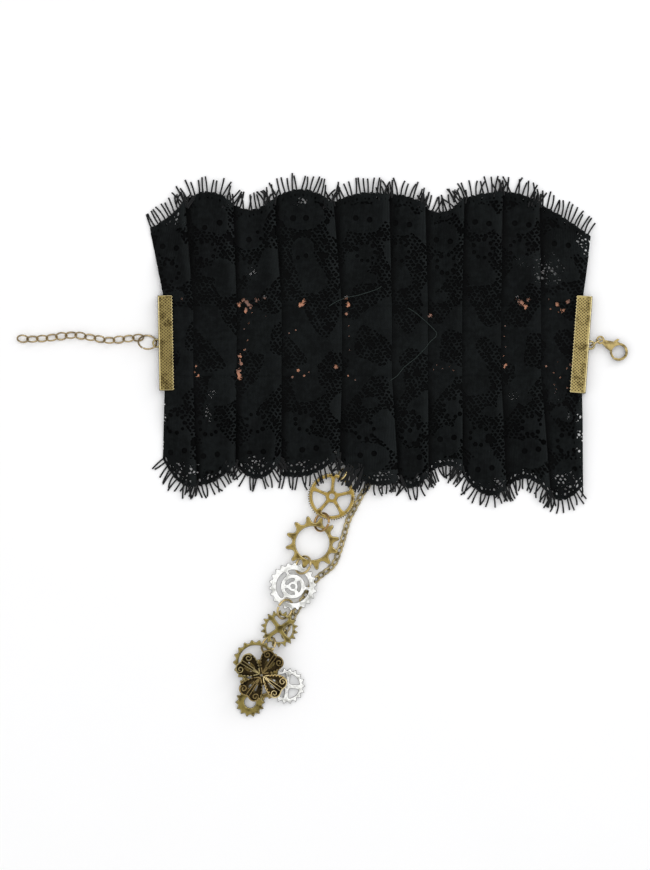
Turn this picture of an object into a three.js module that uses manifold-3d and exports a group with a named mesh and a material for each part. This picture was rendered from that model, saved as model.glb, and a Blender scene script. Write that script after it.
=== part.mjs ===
// Lace armband with a drop of gears, lying open on a flat surface.
// Millimetres, +X along the band, +Z up. The origin is under the middle of the backing strip.
import * as THREE from 'three';
import { mergeVertices } from 'three/addons/utils/BufferGeometryUtils.js';
import Module from 'manifold-3d';

const wasm = await Module();
wasm.setup();

const CLOTH_THICK = 1.0;
const STRIP = {
  halfWidth: 15.3, inset: 1.7, endHeight: 1.18, riseFrom: 0.04, riseTo: 0.11,
  columns: [0, 0.045, 0.11, 0.3, 0.5, 0.7, 0.89, 0.955, 1],
};
const LACE_OVER_STRIP = 1.8; // height of the lace's middle surface above the backing strip
const SEAM_TOP = 12.5;
const SEAM_LOW = -10.7;
const EDGE_HEIGHT = 0.52; // height of the lace's middle surface where its edge lies down
const FALL_FROM = 0.15; // share of a ruffle's width where it starts to fall to its edge
const PUFF = { height: 0.9, reach: 1.5 }; // the ruffles swell a little beyond the seams
const PLEAT_RISE_BAND = 0.6;
const PLEAT_RISE_EDGE = 2.2;
const PLEAT_STEEPNESS = 1.5;
const FOLD_HALF_GAP = 0.45;
const LASH = { length: 4.6, tipShare: 0.14, tipRise: 0.35, tipLift: 0.55 };

const CLAMP_PLATE = 0.5;
const CLAMP_HEIGHT = 3.6;
const CLAMP_CLOTH_HEIGHT = 2.35; // middle surface of the lace between the clamp's plates
const CLAMP_HOLD = { fullX: 4, noneX: 11, fullY: 16.6, noneY: 25 }; // how far the clamps press the lace
const CLAMPS = {
  left: { x: -69.5, y: 0.3, turn: 1.1, width: 5.1, length: 31.6, outward: -1 },
  right: { x: 68.4, y: -0.2, turn: -4.1, width: 5.5, length: 32.4, outward: 1 },
};
const CLAMP_TOOTH = { pitch: 2.1, depth: 0.63 };
const CLAMP_LOOP = { radius: 1.25, wire: 0.7, reach: 0.55, height: 2.1 };

const RING_WIRE = 0.6;
const WIRE_SIDES = 6;
const RING_SIDES = 12;
const WELD = 1e-4; // points closer than this are one point
const RING_PLAY = 0.3; // from a ring's wire to the edge of the opening that it hangs in
const GEAR_THICK = 0.6;
const JOIN_EASE = 0.01; // a joining ring's radius over half the way between its two places

// A row for each pleat, from left to right: where its fold lies on the seams and on both edges,
// and how far the edge reaches at the pleat's start, middle and end.
const LACE_START = { seam: -69.9, top: -75.0, low: -70.7 };
const PLEATS = [
  { seam: -60.7, top: -63.7, low: -59.8, topReach: [38.7, 42.0, 47.0], lowReach: [38.3, 46.0, 47.3] },
  { seam: -46.3, top: -47.7, low: -47.0, topReach: [47.3, 50.7, 47.0], lowReach: [47.3, 45.7, 40.7] },
  { seam: -31.3, top: -34.0, low: -31.7, topReach: [47.0, 44.8, 48.3], lowReach: [39.3, 45.0, 39.3] },
  { seam: -11.3, top: -14.3, low: -12.3, topReach: [48.3, 51.5, 47.0], lowReach: [43.7, 43.7, 37.7] },
  { seam: 5.3, top: 4.2, low: 7.3, topReach: [47.0, 50.2, 49.8], lowReach: [37.7, 46.3, 45.7] },
  { seam: 17.3, top: 16.2, low: 17.3, topReach: [49.7, 49.3, 46.7], lowReach: [45.7, 48.0, 44.3] },
  { seam: 28.7, top: 29.2, low: 28.7, topReach: [46.3, 44.0, 48.7], lowReach: [44.0, 40.7, 42.7] },
  { seam: 41.7, top: 42.0, low: 43.3, topReach: [48.7, 50.0, 50.8], lowReach: [42.7, 50.0, 48.7] },
  { seam: 55.0, top: 54.2, low: 58.0, topReach: [50.7, 50.0, 47.3], lowReach: [48.7, 45.0, 50.7] },
  { seam: 68.8, top: 71.7, low: 69.2, topReach: [47.0, 42.0, 35.7], lowReach: [50.7, 51.7, 47.0] },
];
const PLEAT_COLUMNS = [0, 0.25, 0.55, 0.85, 1];
const RUFFLE_ROWS = [0.14, 0.4, 0.72, 1];
const RING_LOCK_COLUMN = 20; // the fringe parts here around the drop's first ring

// Where the lower ruffle rides up over the drop's hidden hanger and the first gear.
const HANGER_LIFT = { x: -10, y: -40, height: 2.7, reachX: 15, reachY: 17, flatness: 4 };

// The hidden cord that carries the drop, from the strip's lower edge to an eyelet.
const HANGER = {
  name: 'hanger_cord', diameter: 1.1, sides: 8, steps: 10, eyelet: 1.35, eyeletWire: 0.6,
  route: [[-7.0, -15.75, 0.6], [-7.4, -22, 0.9], [-8.8, -32, 1.0], [-10.3, -39.9, 1.0]],
  eye: [-10.55, -41.3, 1.0],
};

// The extension chain's oval links: the route of their middles, and the sizes of one link.
const EXTENDER = {
  name: 'extension_chain', pitch: 3.12, width: 3.5, wire: 0.58, roll: 45, lap: 0.14, sides: 12, wireSides: 5,
  route: [
    [-118.9, 1.8, 1.36], [-113.7, 1.6, 1.36], [-108.6, 2.0, 1.36], [-100.3, 2.9, 1.36],
    [-93.8, 2.0, 1.36], [-88.5, 1.2, 1.36], [-83.0, 1.7, 1.36], [-77.3, 2.2, 1.36],
  ],
};

// The fine chain, as a plain round strand of its outer size.
const FINE_CHAIN = {
  name: 'fine_chain', diameter: 1.3, sides: 8, steps: 34,
  route: [
    [-8.0, -41.2, 1.0], [-5.4, -42.0, 0.9], [-2.3, -46.3, 0.68], [-4.5, -50.3, 0.66], [-7.0, -55.0, 0.66],
    [-9.0, -59.0, 0.66], [-10.4, -64.0, 0.66], [-12.0, -69.0, 0.66], [-14.0, -73.7, 0.66],
    [-19.5, -78.3, 0.66], [-22.4, -82.3, 0.66], [-25.9, -88.5, 0.66], [-28.3, -92.6, 0.66],
    [-30.6, -97.6, 0.66],
  ],
};

// The filigree flower over the gear cluster: four petals bent up like a cup.
const FLOWER = {
  x: -37.8, y: -110.2, z: 2.7, thick: 0.7, petals: 4, turn: -35, cup: 0.034,
  tip: 0.9, tipHalfWidth: 0.45, shoulder: 6.2, halfWidth: 4.1, end: 8.9, notch: 8.1, swell: 0.55, lobe: 0.35,
  slot: [[3.0, 0.45], [6.2, 0.6], [6.6, 1.7], [4.6, 1.35]],
  boss: 1.7, bossBase: 0.02, beadRadius: 0.55, beads: [[7.7, 1.5], [7.7, -1.5], [5.4, 2.6], [5.4, -2.6]],
};

// The lobster clasp, in its own frame: X runs from the eye to the claw. The gate and the claw's
// end meet along an arc about the lever's pivot, so the gate swings into the claw freely.
const CLASP = {
  x: 75.0, y: 1.3, turn: -32.7, height: 0.02, thick: 2.2,
  eyeHole: 0.85, eyeOuter: 1.35, eyeBase: 1.2, eyeThick: 0.85, eyeLap: 0.05,
  neck: [
    [0.8, -0.6], [2.9, -1.2], [4.9, -1.3], [5.25, 0.8], [6.3, 2.1], [5.8, 2.75], [3.6, 1.75], [0.8, 0.6],
  ],
  slot: [2.4, 5.45, -3.0, 5.0],
  clawX: 7.3, clawHole: 2.2, clawOuter: 3.0, clawStart: 122, clawEnd: -112, clawCut: 4.52,
  pivotX: 4.1, pivotY: 0.8, pinRadius: 0.4, pinInset: 0.1, pinGap: 0.12, bossRadius: 0.9,
  gateInner: 2.26, gateOuter: 2.94, gateStart: -186, gateEnd: -78, gateReach: 4.4,
  leverThick: 1.0, leverGap: 0.12,
  tab: [[3.6, 0.8], [4.4, 3.1], [4.75, 3.6], [5.15, 3.6], [5.25, 3.1], [4.8, 0.8]],
};
const CUT_OVER = 1; // how far a cutting solid passes beyond what it cuts
const PIVOT_SIDES = 48;

// Gears: places of their centres, radii of tips and roots, and the share of the pitch that a
// tooth's crest and foot take. Windows lie between two radii, parted by spokes.
const GEARS = [
  {
    name: 'gear_spoked', x: -14.4, y: -50.8, z: 2.22, teeth: 60, tip: 7.95, root: 7.5,
    crest: 0, foot: 1, turn: 0, bore: 0.8,
    windows: [{ count: 5, inner: 2.0, outer: 6.7, spoke: 0.95, turn: 49, arcs: 3 }],
    colour: 0xa8873f,
  },
  {
    name: 'gear_ring', x: -20.85, y: -66.3, z: 2.17, teeth: 12, tip: 8.85, root: 6.85,
    crest: 0.2, foot: 0.6, turn: 10, bore: 5.7, windows: [], colour: 0xa8873f,
  },
  {
    name: 'gear_silver', x: -27.35, y: -80.7, z: 2.77, teeth: 22, tip: 8.0, root: 7.2,
    crest: 0.3, foot: 0.7, turn: 4, bore: 0.7,
    windows: [
      { count: 3, inner: 4.15, outer: 5.5, spoke: 1.0, turn: 52, arcs: 4 },
      { count: 3, inner: 1.4, outer: 2.8, spoke: 1.1, turn: 120, arcs: 2 },
    ],
    colour: 0xd8d8d6,
  },
  {
    name: 'gear_small', x: -31.85, y: -94.8, z: 2.24, teeth: 18, tip: 6.25, root: 5.1,
    crest: 0, foot: 0.8, turn: 8, bore: 0,
    windows: [{ count: 4, inner: 1.4, outer: 4.5, spoke: 1.4, turn: 80, arcs: 2 }],
    colour: 0x8f7336,
  },
  {
    name: 'cluster_gear_ring', x: -39.75, y: -106.0, z: 2.14, teeth: 18, tip: 7.55,
    root: 6.7, crest: 0.2, foot: 0.7, turn: 0, bore: 5.75, windows: [], colour: 0x7d6430,
  },
  {
    name: 'cluster_gear_square', x: -38.1, y: -112.0, z: 0.36, teeth: 16, tip: 6.95,
    root: 6.1, crest: 0.45, foot: 0.5, turn: 6, bore: 4.6, windows: [], colour: 0x6e5a2e,
  },
  {
    name: 'cluster_gear_bronze', x: -41.6, y: -119.3, z: 1.16, teeth: 14, tip: 4.95,
    root: 4.1, crest: 0, foot: 0.8, turn: 0, bore: 1.9, windows: [], colour: 0x8f7336,
  },
  {
    name: 'cluster_gear_silver', x: -29.3, y: -113.9, z: 1.16, teeth: 18, tip: 6.05,
    root: 5.1, crest: 0, foot: 0.8, turn: 0, bore: 0,
    windows: [{ count: 4, inner: 1.3, outer: 4.2, spoke: 1.4, turn: 39, arcs: 2 }],
    colour: 0xc9c9c4,
  },
];

// Jump rings that join two gears: each gear's name with the radius of the opening that the ring
// passes through, and the ring's lean out of the level. A negative lean lifts its other side.
const GEAR_RINGS = [
  { name: 'gear_ring_upper', joins: [['gear_spoked', 6.7], ['gear_ring', 5.25]], lean: 43 },
  { name: 'gear_ring_middle', joins: [['gear_ring', 5.5], ['gear_silver', 5.5]], lean: 43 },
  { name: 'gear_ring_lower', joins: [['gear_silver', 5.3], ['gear_small', 4.2]], lean: -45 },
  { name: 'cluster_ring', joins: [['gear_small', 4.35], ['cluster_gear_ring', 5.0]], lean: 46 },
];

// The other rings, by the two points that their wire passes through.
const END_RINGS = [
  { name: 'extender_ring', from: [-78.3, 1.9, 1.4], to: [-72.8, 0.1, 2.2], radius: 3.0, lean: -40 },
  { name: 'clasp_ring', from: [71.9, -0.45, 1.9], to: [75.1, 1.36, 1.6], radius: 2.05, lean: 90 },
  { name: 'gear_ring_top', from: [-10.5, -41.65, 1.0], to: [-12.0, -45.05, 2.1], radius: 2.02, lean: 58 },
];

const radians = THREE.MathUtils.degToRad;
const lerp = THREE.MathUtils.lerp;
const smooth = (x, low, high) => THREE.MathUtils.smoothstep(x, low, high);

function solidOf(geometry) {
  const bare = geometry.index ? geometry.toNonIndexed() : geometry.clone();
  bare.deleteAttribute('normal');
  bare.deleteAttribute('uv');
  const merged = mergeVertices(bare, WELD);
  const mesh = new wasm.Mesh({
    numProp: 3,
    vertProperties: new Float32Array(merged.attributes.position.array),
    triVerts: new Uint32Array(merged.index.array),
  });
  return new wasm.Manifold(mesh);
}

function geometryOf(solid) {
  const mesh = solid.getMesh();
  const geometry = new THREE.BufferGeometry();
  geometry.setAttribute('position', new THREE.BufferAttribute(new Float32Array(mesh.vertProperties), 3));
  geometry.setIndex(new THREE.BufferAttribute(new Uint32Array(mesh.triVerts), 1));
  geometry.computeVertexNormals();
  return geometry;
}

const fuse = (geometries) => geometryOf(
  geometries.map(solidOf).reduce((whole, next) => whole.add(next)),
);

// A level plate: an outline extruded upwards from z = base.
function plate(shape, base, thick, curveSegments = 3) {
  const geometry = new THREE.ExtrudeGeometry(shape, { depth: thick, bevelEnabled: false, curveSegments });
  geometry.translate(0, 0, base);
  return geometry;
}

function rectangle(x0, x1, y0, y1) {
  return new THREE.Shape([
    new THREE.Vector2(x0, y0), new THREE.Vector2(x1, y0),
    new THREE.Vector2(x1, y1), new THREE.Vector2(x0, y1),
  ]);
}

// A cloth wall: a grid of middle-surface points given thickness, with walls on its open edges.
function clothSolid(points, cells, thick) {
  const count = points.length;
  const position = [];
  for (const side of [1, -1]) {
    for (const [x, y, z] of points) position.push(x, y, z + side * thick / 2);
  }
  const index = [];
  const edges = new Map();
  for (const cell of cells) {
    const [a, b, c, d] = cell;
    index.push(a, b, c, a, c, d);
    index.push(a + count, c + count, b + count, a + count, d + count, c + count);
    cell.forEach((start, k) => {
      const end = cell[(k + 1) % 4];
      const back = `${end},${start}`;
      if (edges.has(back)) edges.delete(back);
      else edges.set(`${start},${end}`, [start, end]);
    });
  }
  for (const [start, end] of edges.values()) {
    index.push(start, start + count, end + count, start, end + count, end);
  }
  const geometry = new THREE.BufferGeometry();
  geometry.setAttribute('position', new THREE.Float32BufferAttribute(position, 3));
  geometry.setIndex(index);
  geometry.computeVertexNormals();
  return geometry;
}

// From a clamp's own frame (x across its plates, y along it) to the armband's frame.
function clampPoint(clamp, x, y) {
  const turn = radians(clamp.turn);
  return [
    clamp.x + x * Math.cos(turn) - y * Math.sin(turn),
    clamp.y + x * Math.sin(turn) + y * Math.cos(turn),
  ];
}

// The backing strip lies flat and rises at both ends into the clamps.
function backingStrip() {
  const rows = [-1, 0, 1];
  const points = [];
  for (const share of STRIP.columns) {
    const atEnd = 1 - smooth(Math.min(share, 1 - share), STRIP.riseFrom, STRIP.riseTo);
    const height = lerp(CLOTH_THICK / 2, STRIP.endHeight, atEnd);
    for (const row of rows) {
      const left = clampPoint(CLAMPS.left, -STRIP.inset, row * STRIP.halfWidth);
      const right = clampPoint(CLAMPS.right, STRIP.inset, row * STRIP.halfWidth);
      points.push([lerp(left[0], right[0], share), lerp(left[1], right[1], share), height]);
    }
  }
  return clothSolid(points, gridCells(STRIP.columns.length, rows.length), CLOTH_THICK);
}

function gridCells(columns, rows) {
  const cells = [];
  for (let i = 0; i < columns - 1; i += 1) {
    for (let j = 0; j < rows - 1; j += 1) {
      const a = i * rows + j;
      cells.push([a, a + rows, a + rows + 1, a + 1]);
    }
  }
  return cells;
}

// A smooth reach through a pleat's start, middle and end.
function reachAt([start, middle, end], share) {
  const bend = middle - (start + end) / 2;
  return lerp(start, end, share) + 4 * bend * share * (1 - share);
}

// How strongly the clamps hold the lace down at a place: 1 between their plates, 0 away from them.
function clampHold(x, y) {
  const away = Math.min(Math.abs(x - CLAMPS.left.x), Math.abs(x - CLAMPS.right.x));
  const { fullX, noneX, fullY, noneY } = CLAMP_HOLD;
  return (1 - smooth(away, fullX, noneX)) * (1 - smooth(Math.abs(y), fullY, noneY));
}

// How much higher the lace lies where the hidden hanger is under it.
function hangerLift(x, y) {
  const { height, reachX, reachY, flatness } = HANGER_LIFT;
  const across = Math.abs(x - HANGER_LIFT.x) / reachX;
  const along = Math.abs(y - HANGER_LIFT.y) / reachY;
  return height * Math.exp(-(across ** flatness) - along ** flatness);
}

// Middle-surface height of the lace: out is 0 on the seams and 1 on the scalloped edges,
// share is 0 at a pleat's tucked side and 1 at its raised fold.
function laceHeight(x, y, out, share) {
  const puff = PUFF.height * Math.sin(Math.PI * Math.min(1, out * PUFF.reach));
  const fall = lerp(LACE_OVER_STRIP, EDGE_HEIGHT, smooth(out, FALL_FROM, 1)) + puff;
  const rise = lerp(PLEAT_RISE_BAND, PLEAT_RISE_EDGE, out) * share ** PLEAT_STEEPNESS;
  return lerp(fall + rise + hangerLift(x, y), CLAMP_CLOTH_HEIGHT, clampHold(x, y));
}

// The lace's columns, from its left end to its right: a few in each pleat.
function laceColumns() {
  const columns = [];
  PLEATS.forEach((pleat, k) => {
    const before = k === 0 ? LACE_START : PLEATS[k - 1];
    const startGap = k === 0 ? 0 : FOLD_HALF_GAP;
    const endGap = k === PLEATS.length - 1 ? 0 : FOLD_HALF_GAP;
    for (const share of PLEAT_COLUMNS) {
      const at = (key) => lerp(before[key] + startGap, pleat[key] - endGap, share);
      columns.push({
        share,
        seam: at('seam'),
        top: [at('top'), reachAt(pleat.topReach, share)],
        low: [at('low'), -reachAt(pleat.lowReach, share)],
      });
    }
  });
  return columns;
}

// The whole double-edged lace: band and both ruffles, with the eyelash fringe in small locks.
function pleatedLace() {
  const columns = laceColumns();
  const points = [];
  for (const { share, seam, top, low } of columns) {
    const place = (edge, seamY, out) => {
      const x = lerp(seam, edge[0], out);
      const y = lerp(seamY, edge[1], out);
      return [x, y, laceHeight(x, y, out, share)];
    };
    for (const out of [...RUFFLE_ROWS].reverse()) points.push(place(low, SEAM_LOW, out));
    points.push(place(low, SEAM_LOW, 0));
    const middle = (SEAM_TOP + SEAM_LOW) / 2;
    points.push([seam, middle, laceHeight(seam, middle, 0, share)]);
    points.push(place(top, SEAM_TOP, 0));
    for (const out of RUFFLE_ROWS) points.push(place(top, SEAM_TOP, out));
  }
  const rows = RUFFLE_ROWS.length * 2 + 3;
  const cells = gridCells(columns.length, rows);
  const perPleat = PLEAT_COLUMNS.length;
  for (let i = 0; i < columns.length - 1; i += 1) {
    const crossesFold = i % perPleat === perPleat - 1;
    if (!crossesFold) {
      if (i !== RING_LOCK_COLUMN) addLock(points, cells, i * rows, (i + 1) * rows, -1);
      addLock(points, cells, (i + 2) * rows - 1, (i + 1) * rows - 1, 1);
    }
  }
  return clothSolid(points, cells, CLOTH_THICK);
}

// One lock of the eyelash fringe, out from the edge between two grid points.
function addLock(points, cells, first, second, outward) {
  const [ax, ay, az] = points[first];
  const [bx, by, bz] = points[second];
  const tipAt = (mix) => [
    lerp(ax, bx, mix),
    lerp(ay, by, mix) + outward * LASH.length,
    lerp(EDGE_HEIGHT, lerp(az, bz, mix), LASH.tipRise) + LASH.tipLift * hangerLift(lerp(ax, bx, mix), ay),
  ];
  points.push(tipAt(0.5 - LASH.tipShare / 2), tipAt(0.5 + LASH.tipShare / 2));
  const tip = points.length - 2;
  cells.push([first, tip, tip + 1, second]);
}

// A ribbon clamp: two plates joined along the outer side, saw-toothed inner edges, and a loop.
function ribbonClamp(clamp) {
  const half = clamp.width / 2;
  const outward = clamp.outward;
  const inner = -outward * (half - CLAMP_TOOTH.depth);
  const teeth = Math.round(clamp.length / CLAMP_TOOTH.pitch);
  const step = clamp.length / teeth;
  const corners = [[outward * half, -clamp.length / 2], [inner, -clamp.length / 2]];
  for (let k = 0; k < teeth; k += 1) {
    const y = -clamp.length / 2 + (k + 0.5) * step;
    corners.push([-outward * half, y], [inner, y + step / 2]);
  }
  corners.push([outward * half, clamp.length / 2]);
  const outline = outlineOf(corners);
  const wallInner = outward * (half - CLAMP_PLATE);
  const wall = rectangle(
    Math.min(outward * half, wallInner), Math.max(outward * half, wallInner),
    -clamp.length / 2, clamp.length / 2,
  );
  const loop = new THREE.TorusGeometry(CLAMP_LOOP.radius, CLAMP_LOOP.wire / 2, WIRE_SIDES, RING_SIDES);
  loop.translate(outward * (half + CLAMP_LOOP.reach), 0, CLAMP_LOOP.height);
  const clearInside = plate(
    rectangle(-half, half, -clamp.length / 2, clamp.length / 2), CLAMP_PLATE, CLAMP_HEIGHT - 2 * CLAMP_PLATE,
  );
  clearInside.translate(-outward * CLAMP_PLATE, 0, 0);
  const whole = solidOf(plate(outline, 0, CLAMP_PLATE))
    .add(solidOf(plate(outline, CLAMP_HEIGHT - CLAMP_PLATE, CLAMP_PLATE)))
    .add(solidOf(plate(wall, 0, CLAMP_HEIGHT)))
    .add(solidOf(loop).subtract(solidOf(clearInside)));
  return geometryOf(whole);
}

// A gear's outline, tooth by tooth, with its bore and windows as holes.
function gearShape(gear) {
  const shape = new THREE.Shape();
  const pitch = 2 * Math.PI / gear.teeth;
  const corners = [[gear.root, -gear.foot / 2], [gear.tip, -gear.crest / 2]];
  if (gear.crest > 0) corners.push([gear.tip, gear.crest / 2]);
  if (gear.foot < 1) corners.push([gear.root, gear.foot / 2]);
  for (let k = 0; k < gear.teeth; k += 1) {
    corners.forEach(([radius, share], c) => {
      const angle = radians(gear.turn) + (k + share) * pitch;
      const point = [radius * Math.cos(angle), radius * Math.sin(angle)];
      if (k === 0 && c === 0) shape.moveTo(...point);
      else shape.lineTo(...point);
    });
  }
  shape.closePath();
  if (gear.bore > 0) shape.holes.push(new THREE.Path().absarc(0, 0, gear.bore, 0, 2 * Math.PI, true));
  for (const windows of gear.windows) shape.holes.push(...windowPaths(windows));
  return shape;
}

// Windows of one ring of a gear, between its spokes.
function windowPaths({ count, inner, outer, spoke, turn, arcs }) {
  const paths = [];
  for (let k = 0; k < count; k += 1) {
    const middle = radians(turn) + (k * 2 * Math.PI) / count;
    const halfAt = (radius) => Math.PI / count - Math.asin(spoke / 2 / radius);
    const points = [];
    for (const [radius, way] of [[inner, 1], [outer, -1]]) {
      for (let step = 0; step <= arcs; step += 1) {
        const angle = middle + way * halfAt(radius) * ((2 * step) / arcs - 1);
        points.push(new THREE.Vector2(radius * Math.cos(angle), radius * Math.sin(angle)));
      }
    }
    paths.push(new THREE.Path(points));
  }
  return paths;
}

// A round ring whose wire passes through two points, leaning out of the level about their line.
function ringThrough({ from, to, radius, lean }) {
  const a = new THREE.Vector3(...from);
  const b = new THREE.Vector3(...to);
  const along = b.clone().sub(a).normalize();
  const side = new THREE.Vector3(0, 0, 1).cross(along).normalize();
  const level = along.clone().cross(side);
  const tilt = radians(Math.abs(lean));
  const up = side.multiplyScalar(Math.sign(lean) * Math.cos(tilt)).addScaledVector(level, Math.sin(tilt));
  const rise = Math.sqrt(Math.max(0, radius ** 2 - a.distanceTo(b) ** 2 / 4));
  const centre = a.add(b).multiplyScalar(0.5).addScaledVector(up, rise);
  const ring = new THREE.TorusGeometry(radius, RING_WIRE / 2, WIRE_SIDES, RING_SIDES);
  const turn = new THREE.Matrix4().makeBasis(along, up, along.clone().cross(up));
  return ring.applyMatrix4(turn.setPosition(centre));
}

function smoothRoute(route) {
  const stops = route.map((point) => new THREE.Vector3(...point));
  return new THREE.CatmullRomCurve3(stops, false, 'centripetal');
}

// A round strand along a route.
function strand({ route, diameter, sides, steps }) {
  const curve = smoothRoute(route);
  const section = disc(0, 0, diameter / 2, sides);
  return new THREE.ExtrudeGeometry(section, { steps, extrudePath: curve, bevelEnabled: false });
}

function hangerCord() {
  const eyelet = new THREE.TorusGeometry(HANGER.eyelet, HANGER.eyeletWire / 2, WIRE_SIDES, RING_SIDES);
  return fuse([strand(HANGER), eyelet.translate(...HANGER.eye)]);
}

// Links of a chain along its route, each rolled against the next, fused where they bear.
function chainOf({ route, pitch, width, wire, roll, lap, sides, wireSides }) {
  const curve = smoothRoute(route);
  const count = Math.round(curve.getLength() / pitch);
  const step = curve.getLength() / count;
  const length = step + 2 * wire - lap;
  const links = [];
  for (let k = 0; k < count; k += 1) {
    const share = (k + 0.5) / count;
    const along = curve.getTangentAt(share);
    const across = new THREE.Vector3(0, 0, 1).cross(along).normalize();
    const level = along.clone().cross(across);
    const turn = radians(k % 2 === 0 ? roll : -roll);
    const rolled = across.multiplyScalar(Math.cos(turn)).addScaledVector(level, Math.sin(turn));
    const link = new THREE.TorusGeometry((width - wire) / 2, wire / 2, wireSides, sides);
    link.scale((length - wire) / (width - wire), 1, 1);
    const place = new THREE.Matrix4().makeBasis(along, rolled, along.clone().cross(rolled));
    links.push(link.applyMatrix4(place.setPosition(curve.getPointAt(share))));
  }
  return fuse(links);
}

// One petal: a pointed leaf with its tip at the flower's middle, pierced along both sides of a rib.
function petalShape() {
  const { tip, tipHalfWidth, shoulder, halfWidth, end, notch, swell, lobe } = FLOWER;
  const shape = new THREE.Shape();
  shape.moveTo(tip, -tipHalfWidth);
  shape.quadraticCurveTo(shoulder * swell, -halfWidth * swell, shoulder, -halfWidth);
  shape.quadraticCurveTo(end, -halfWidth, end, -halfWidth * lobe);
  shape.lineTo(notch, 0);
  shape.lineTo(end, halfWidth * lobe);
  shape.quadraticCurveTo(end, halfWidth, shoulder, halfWidth);
  shape.quadraticCurveTo(shoulder * swell, halfWidth * swell, tip, tipHalfWidth);
  shape.closePath();
  for (const side of [1, -1]) {
    shape.holes.push(new THREE.Path(FLOWER.slot.map(([x, y]) => new THREE.Vector2(x, side * y))));
  }
  return shape;
}

// Bends a level piece of the flower up into its cup.
function cupped(geometry) {
  const position = geometry.attributes.position;
  for (let k = 0; k < position.count; k += 1) {
    const reach = Math.hypot(position.getX(k), position.getY(k));
    position.setZ(k, position.getZ(k) + FLOWER.cup * reach ** 2);
  }
  return geometry;
}

function filigreeFlower() {
  const pieces = [plate(disc(0, 0, FLOWER.boss, RING_SIDES), FLOWER.bossBase, FLOWER.thick)];
  for (let k = 0; k < FLOWER.petals; k += 1) {
    const turn = radians(FLOWER.turn) + (k * 2 * Math.PI) / FLOWER.petals;
    const parts = [cupped(plate(petalShape(), 0, FLOWER.thick))];
    for (const [x, y] of FLOWER.beads) {
      const bead = new THREE.IcosahedronGeometry(FLOWER.beadRadius, 0);
      bead.translate(x, y, FLOWER.thick + FLOWER.cup * (x ** 2 + y ** 2));
      parts.push(bead);
    }
    for (const part of parts) pieces.push(part.rotateZ(turn));
  }
  return fuse(pieces);
}

// A curved bar between two radii and two angles, about a point of the clasp's frame.
function arcBar(centreX, inner, outer, startDegrees, endDegrees, steps) {
  const points = [];
  for (const [radius, flip] of [[outer, false], [inner, true]]) {
    for (let k = 0; k <= steps; k += 1) {
      const share = flip ? 1 - k / steps : k / steps;
      const angle = radians(lerp(startDegrees, endDegrees, share));
      points.push(new THREE.Vector2(centreX + radius * Math.cos(angle), radius * Math.sin(angle)));
    }
  }
  return new THREE.Shape(points);
}

const outlineOf = (corners) => new THREE.Shape(corners.map(([x, y]) => new THREE.Vector2(x, y)));

function disc(x, y, radius, steps) {
  const points = [];
  for (let k = 0; k < steps; k += 1) {
    const angle = (k * 2 * Math.PI) / steps;
    points.push(new THREE.Vector2(x + radius * Math.cos(angle), y + radius * Math.sin(angle)));
  }
  return new THREE.Shape(points);
}

// The clasp's body: eye, neck with two cheeks, claw, and the pin that the lever turns on.
function claspBody() {
  const { thick, leverThick, leverGap, pinInset, clawX, clawHole, clawOuter } = CLASP;
  const through = (shape) => solidOf(plate(shape, -CUT_OVER, thick + 2 * CUT_OVER));
  const sweep = through(disc(CLASP.pivotX, CLASP.pivotY, CLASP.clawCut, PIVOT_SIDES))
    .subtract(through(rectangle(-clawX, 2 * clawX, -clawHole / 2, 2 * clawX)));
  const clawBar = arcBar(clawX, clawHole, clawOuter, CLASP.clawEnd, CLASP.clawStart, 14);
  const claw = solidOf(plate(clawBar, 0, thick)).subtract(sweep);
  const slotBase = (thick - leverThick) / 2 - leverGap;
  const eye = plate(disc(0, 0, CLASP.eyeOuter + CLASP.eyeLap, 14), CLASP.eyeBase, CLASP.eyeThick);
  const pin = plate(disc(CLASP.pivotX, CLASP.pivotY, CLASP.pinRadius, 8), pinInset, thick - 2 * pinInset);
  const whole = solidOf(plate(outlineOf(CLASP.neck), 0, thick))
    .subtract(through(disc(0, 0, CLASP.eyeOuter, 14)))
    .add(solidOf(eye))
    .subtract(through(disc(clawX, 0, clawHole, 16)))
    .add(claw)
    .subtract(solidOf(plate(rectangle(...CLASP.slot), slotBase, leverThick + 2 * leverGap)))
    .add(solidOf(pin))
    .subtract(through(disc(0, 0, CLASP.eyeHole, 10)));
  return geometryOf(whole);
}

// The lever: thumb tab, boss around the pin, and the gate that closes the claw.
function claspLever() {
  const { thick, leverThick, pivotX, pivotY, gateStart, gateEnd } = CLASP;
  const layer = (shape) => solidOf(plate(shape, (thick - leverThick) / 2, leverThick));
  const gate = layer(arcBar(CLASP.clawX, CLASP.gateInner, CLASP.gateOuter, gateStart, gateEnd, 9))
    .intersect(layer(disc(pivotX, pivotY, CLASP.gateReach, PIVOT_SIDES)));
  const whole = gate
    .add(layer(outlineOf(CLASP.tab)))
    .add(layer(disc(pivotX, pivotY, CLASP.bossRadius, 12)))
    .subtract(solidOf(plate(disc(pivotX, pivotY, CLASP.pinRadius + CLASP.pinGap, 10), 0, thick)));
  return geometryOf(whole);
}

// Where a ring's wire passes through the openings of two gears, on the line between their centres.
function passPoints(joins) {
  const centres = joins.map(([name]) => {
    const gear = GEARS.find((row) => row.name === name);
    return new THREE.Vector3(gear.x, gear.y, gear.z);
  });
  return joins.map(([, opening], k) => {
    const toOther = centres[1 - k].clone().sub(centres[k]).setZ(0).normalize();
    const reach = opening - RING_WIRE / 2 - RING_PLAY;
    return centres[k].clone().addScaledVector(toOther, reach).toArray();
  });
}

const METAL = { roughness: 0.4, metalness: 0.9 };
const LACE = { color: 0x15171a, roughness: 0.8, metalness: 0 };
const SATIN = { color: 0x7a3c22, roughness: 0.5, metalness: 0 };
const BRONZE = { color: 0x8a7038, ...METAL };

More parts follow.
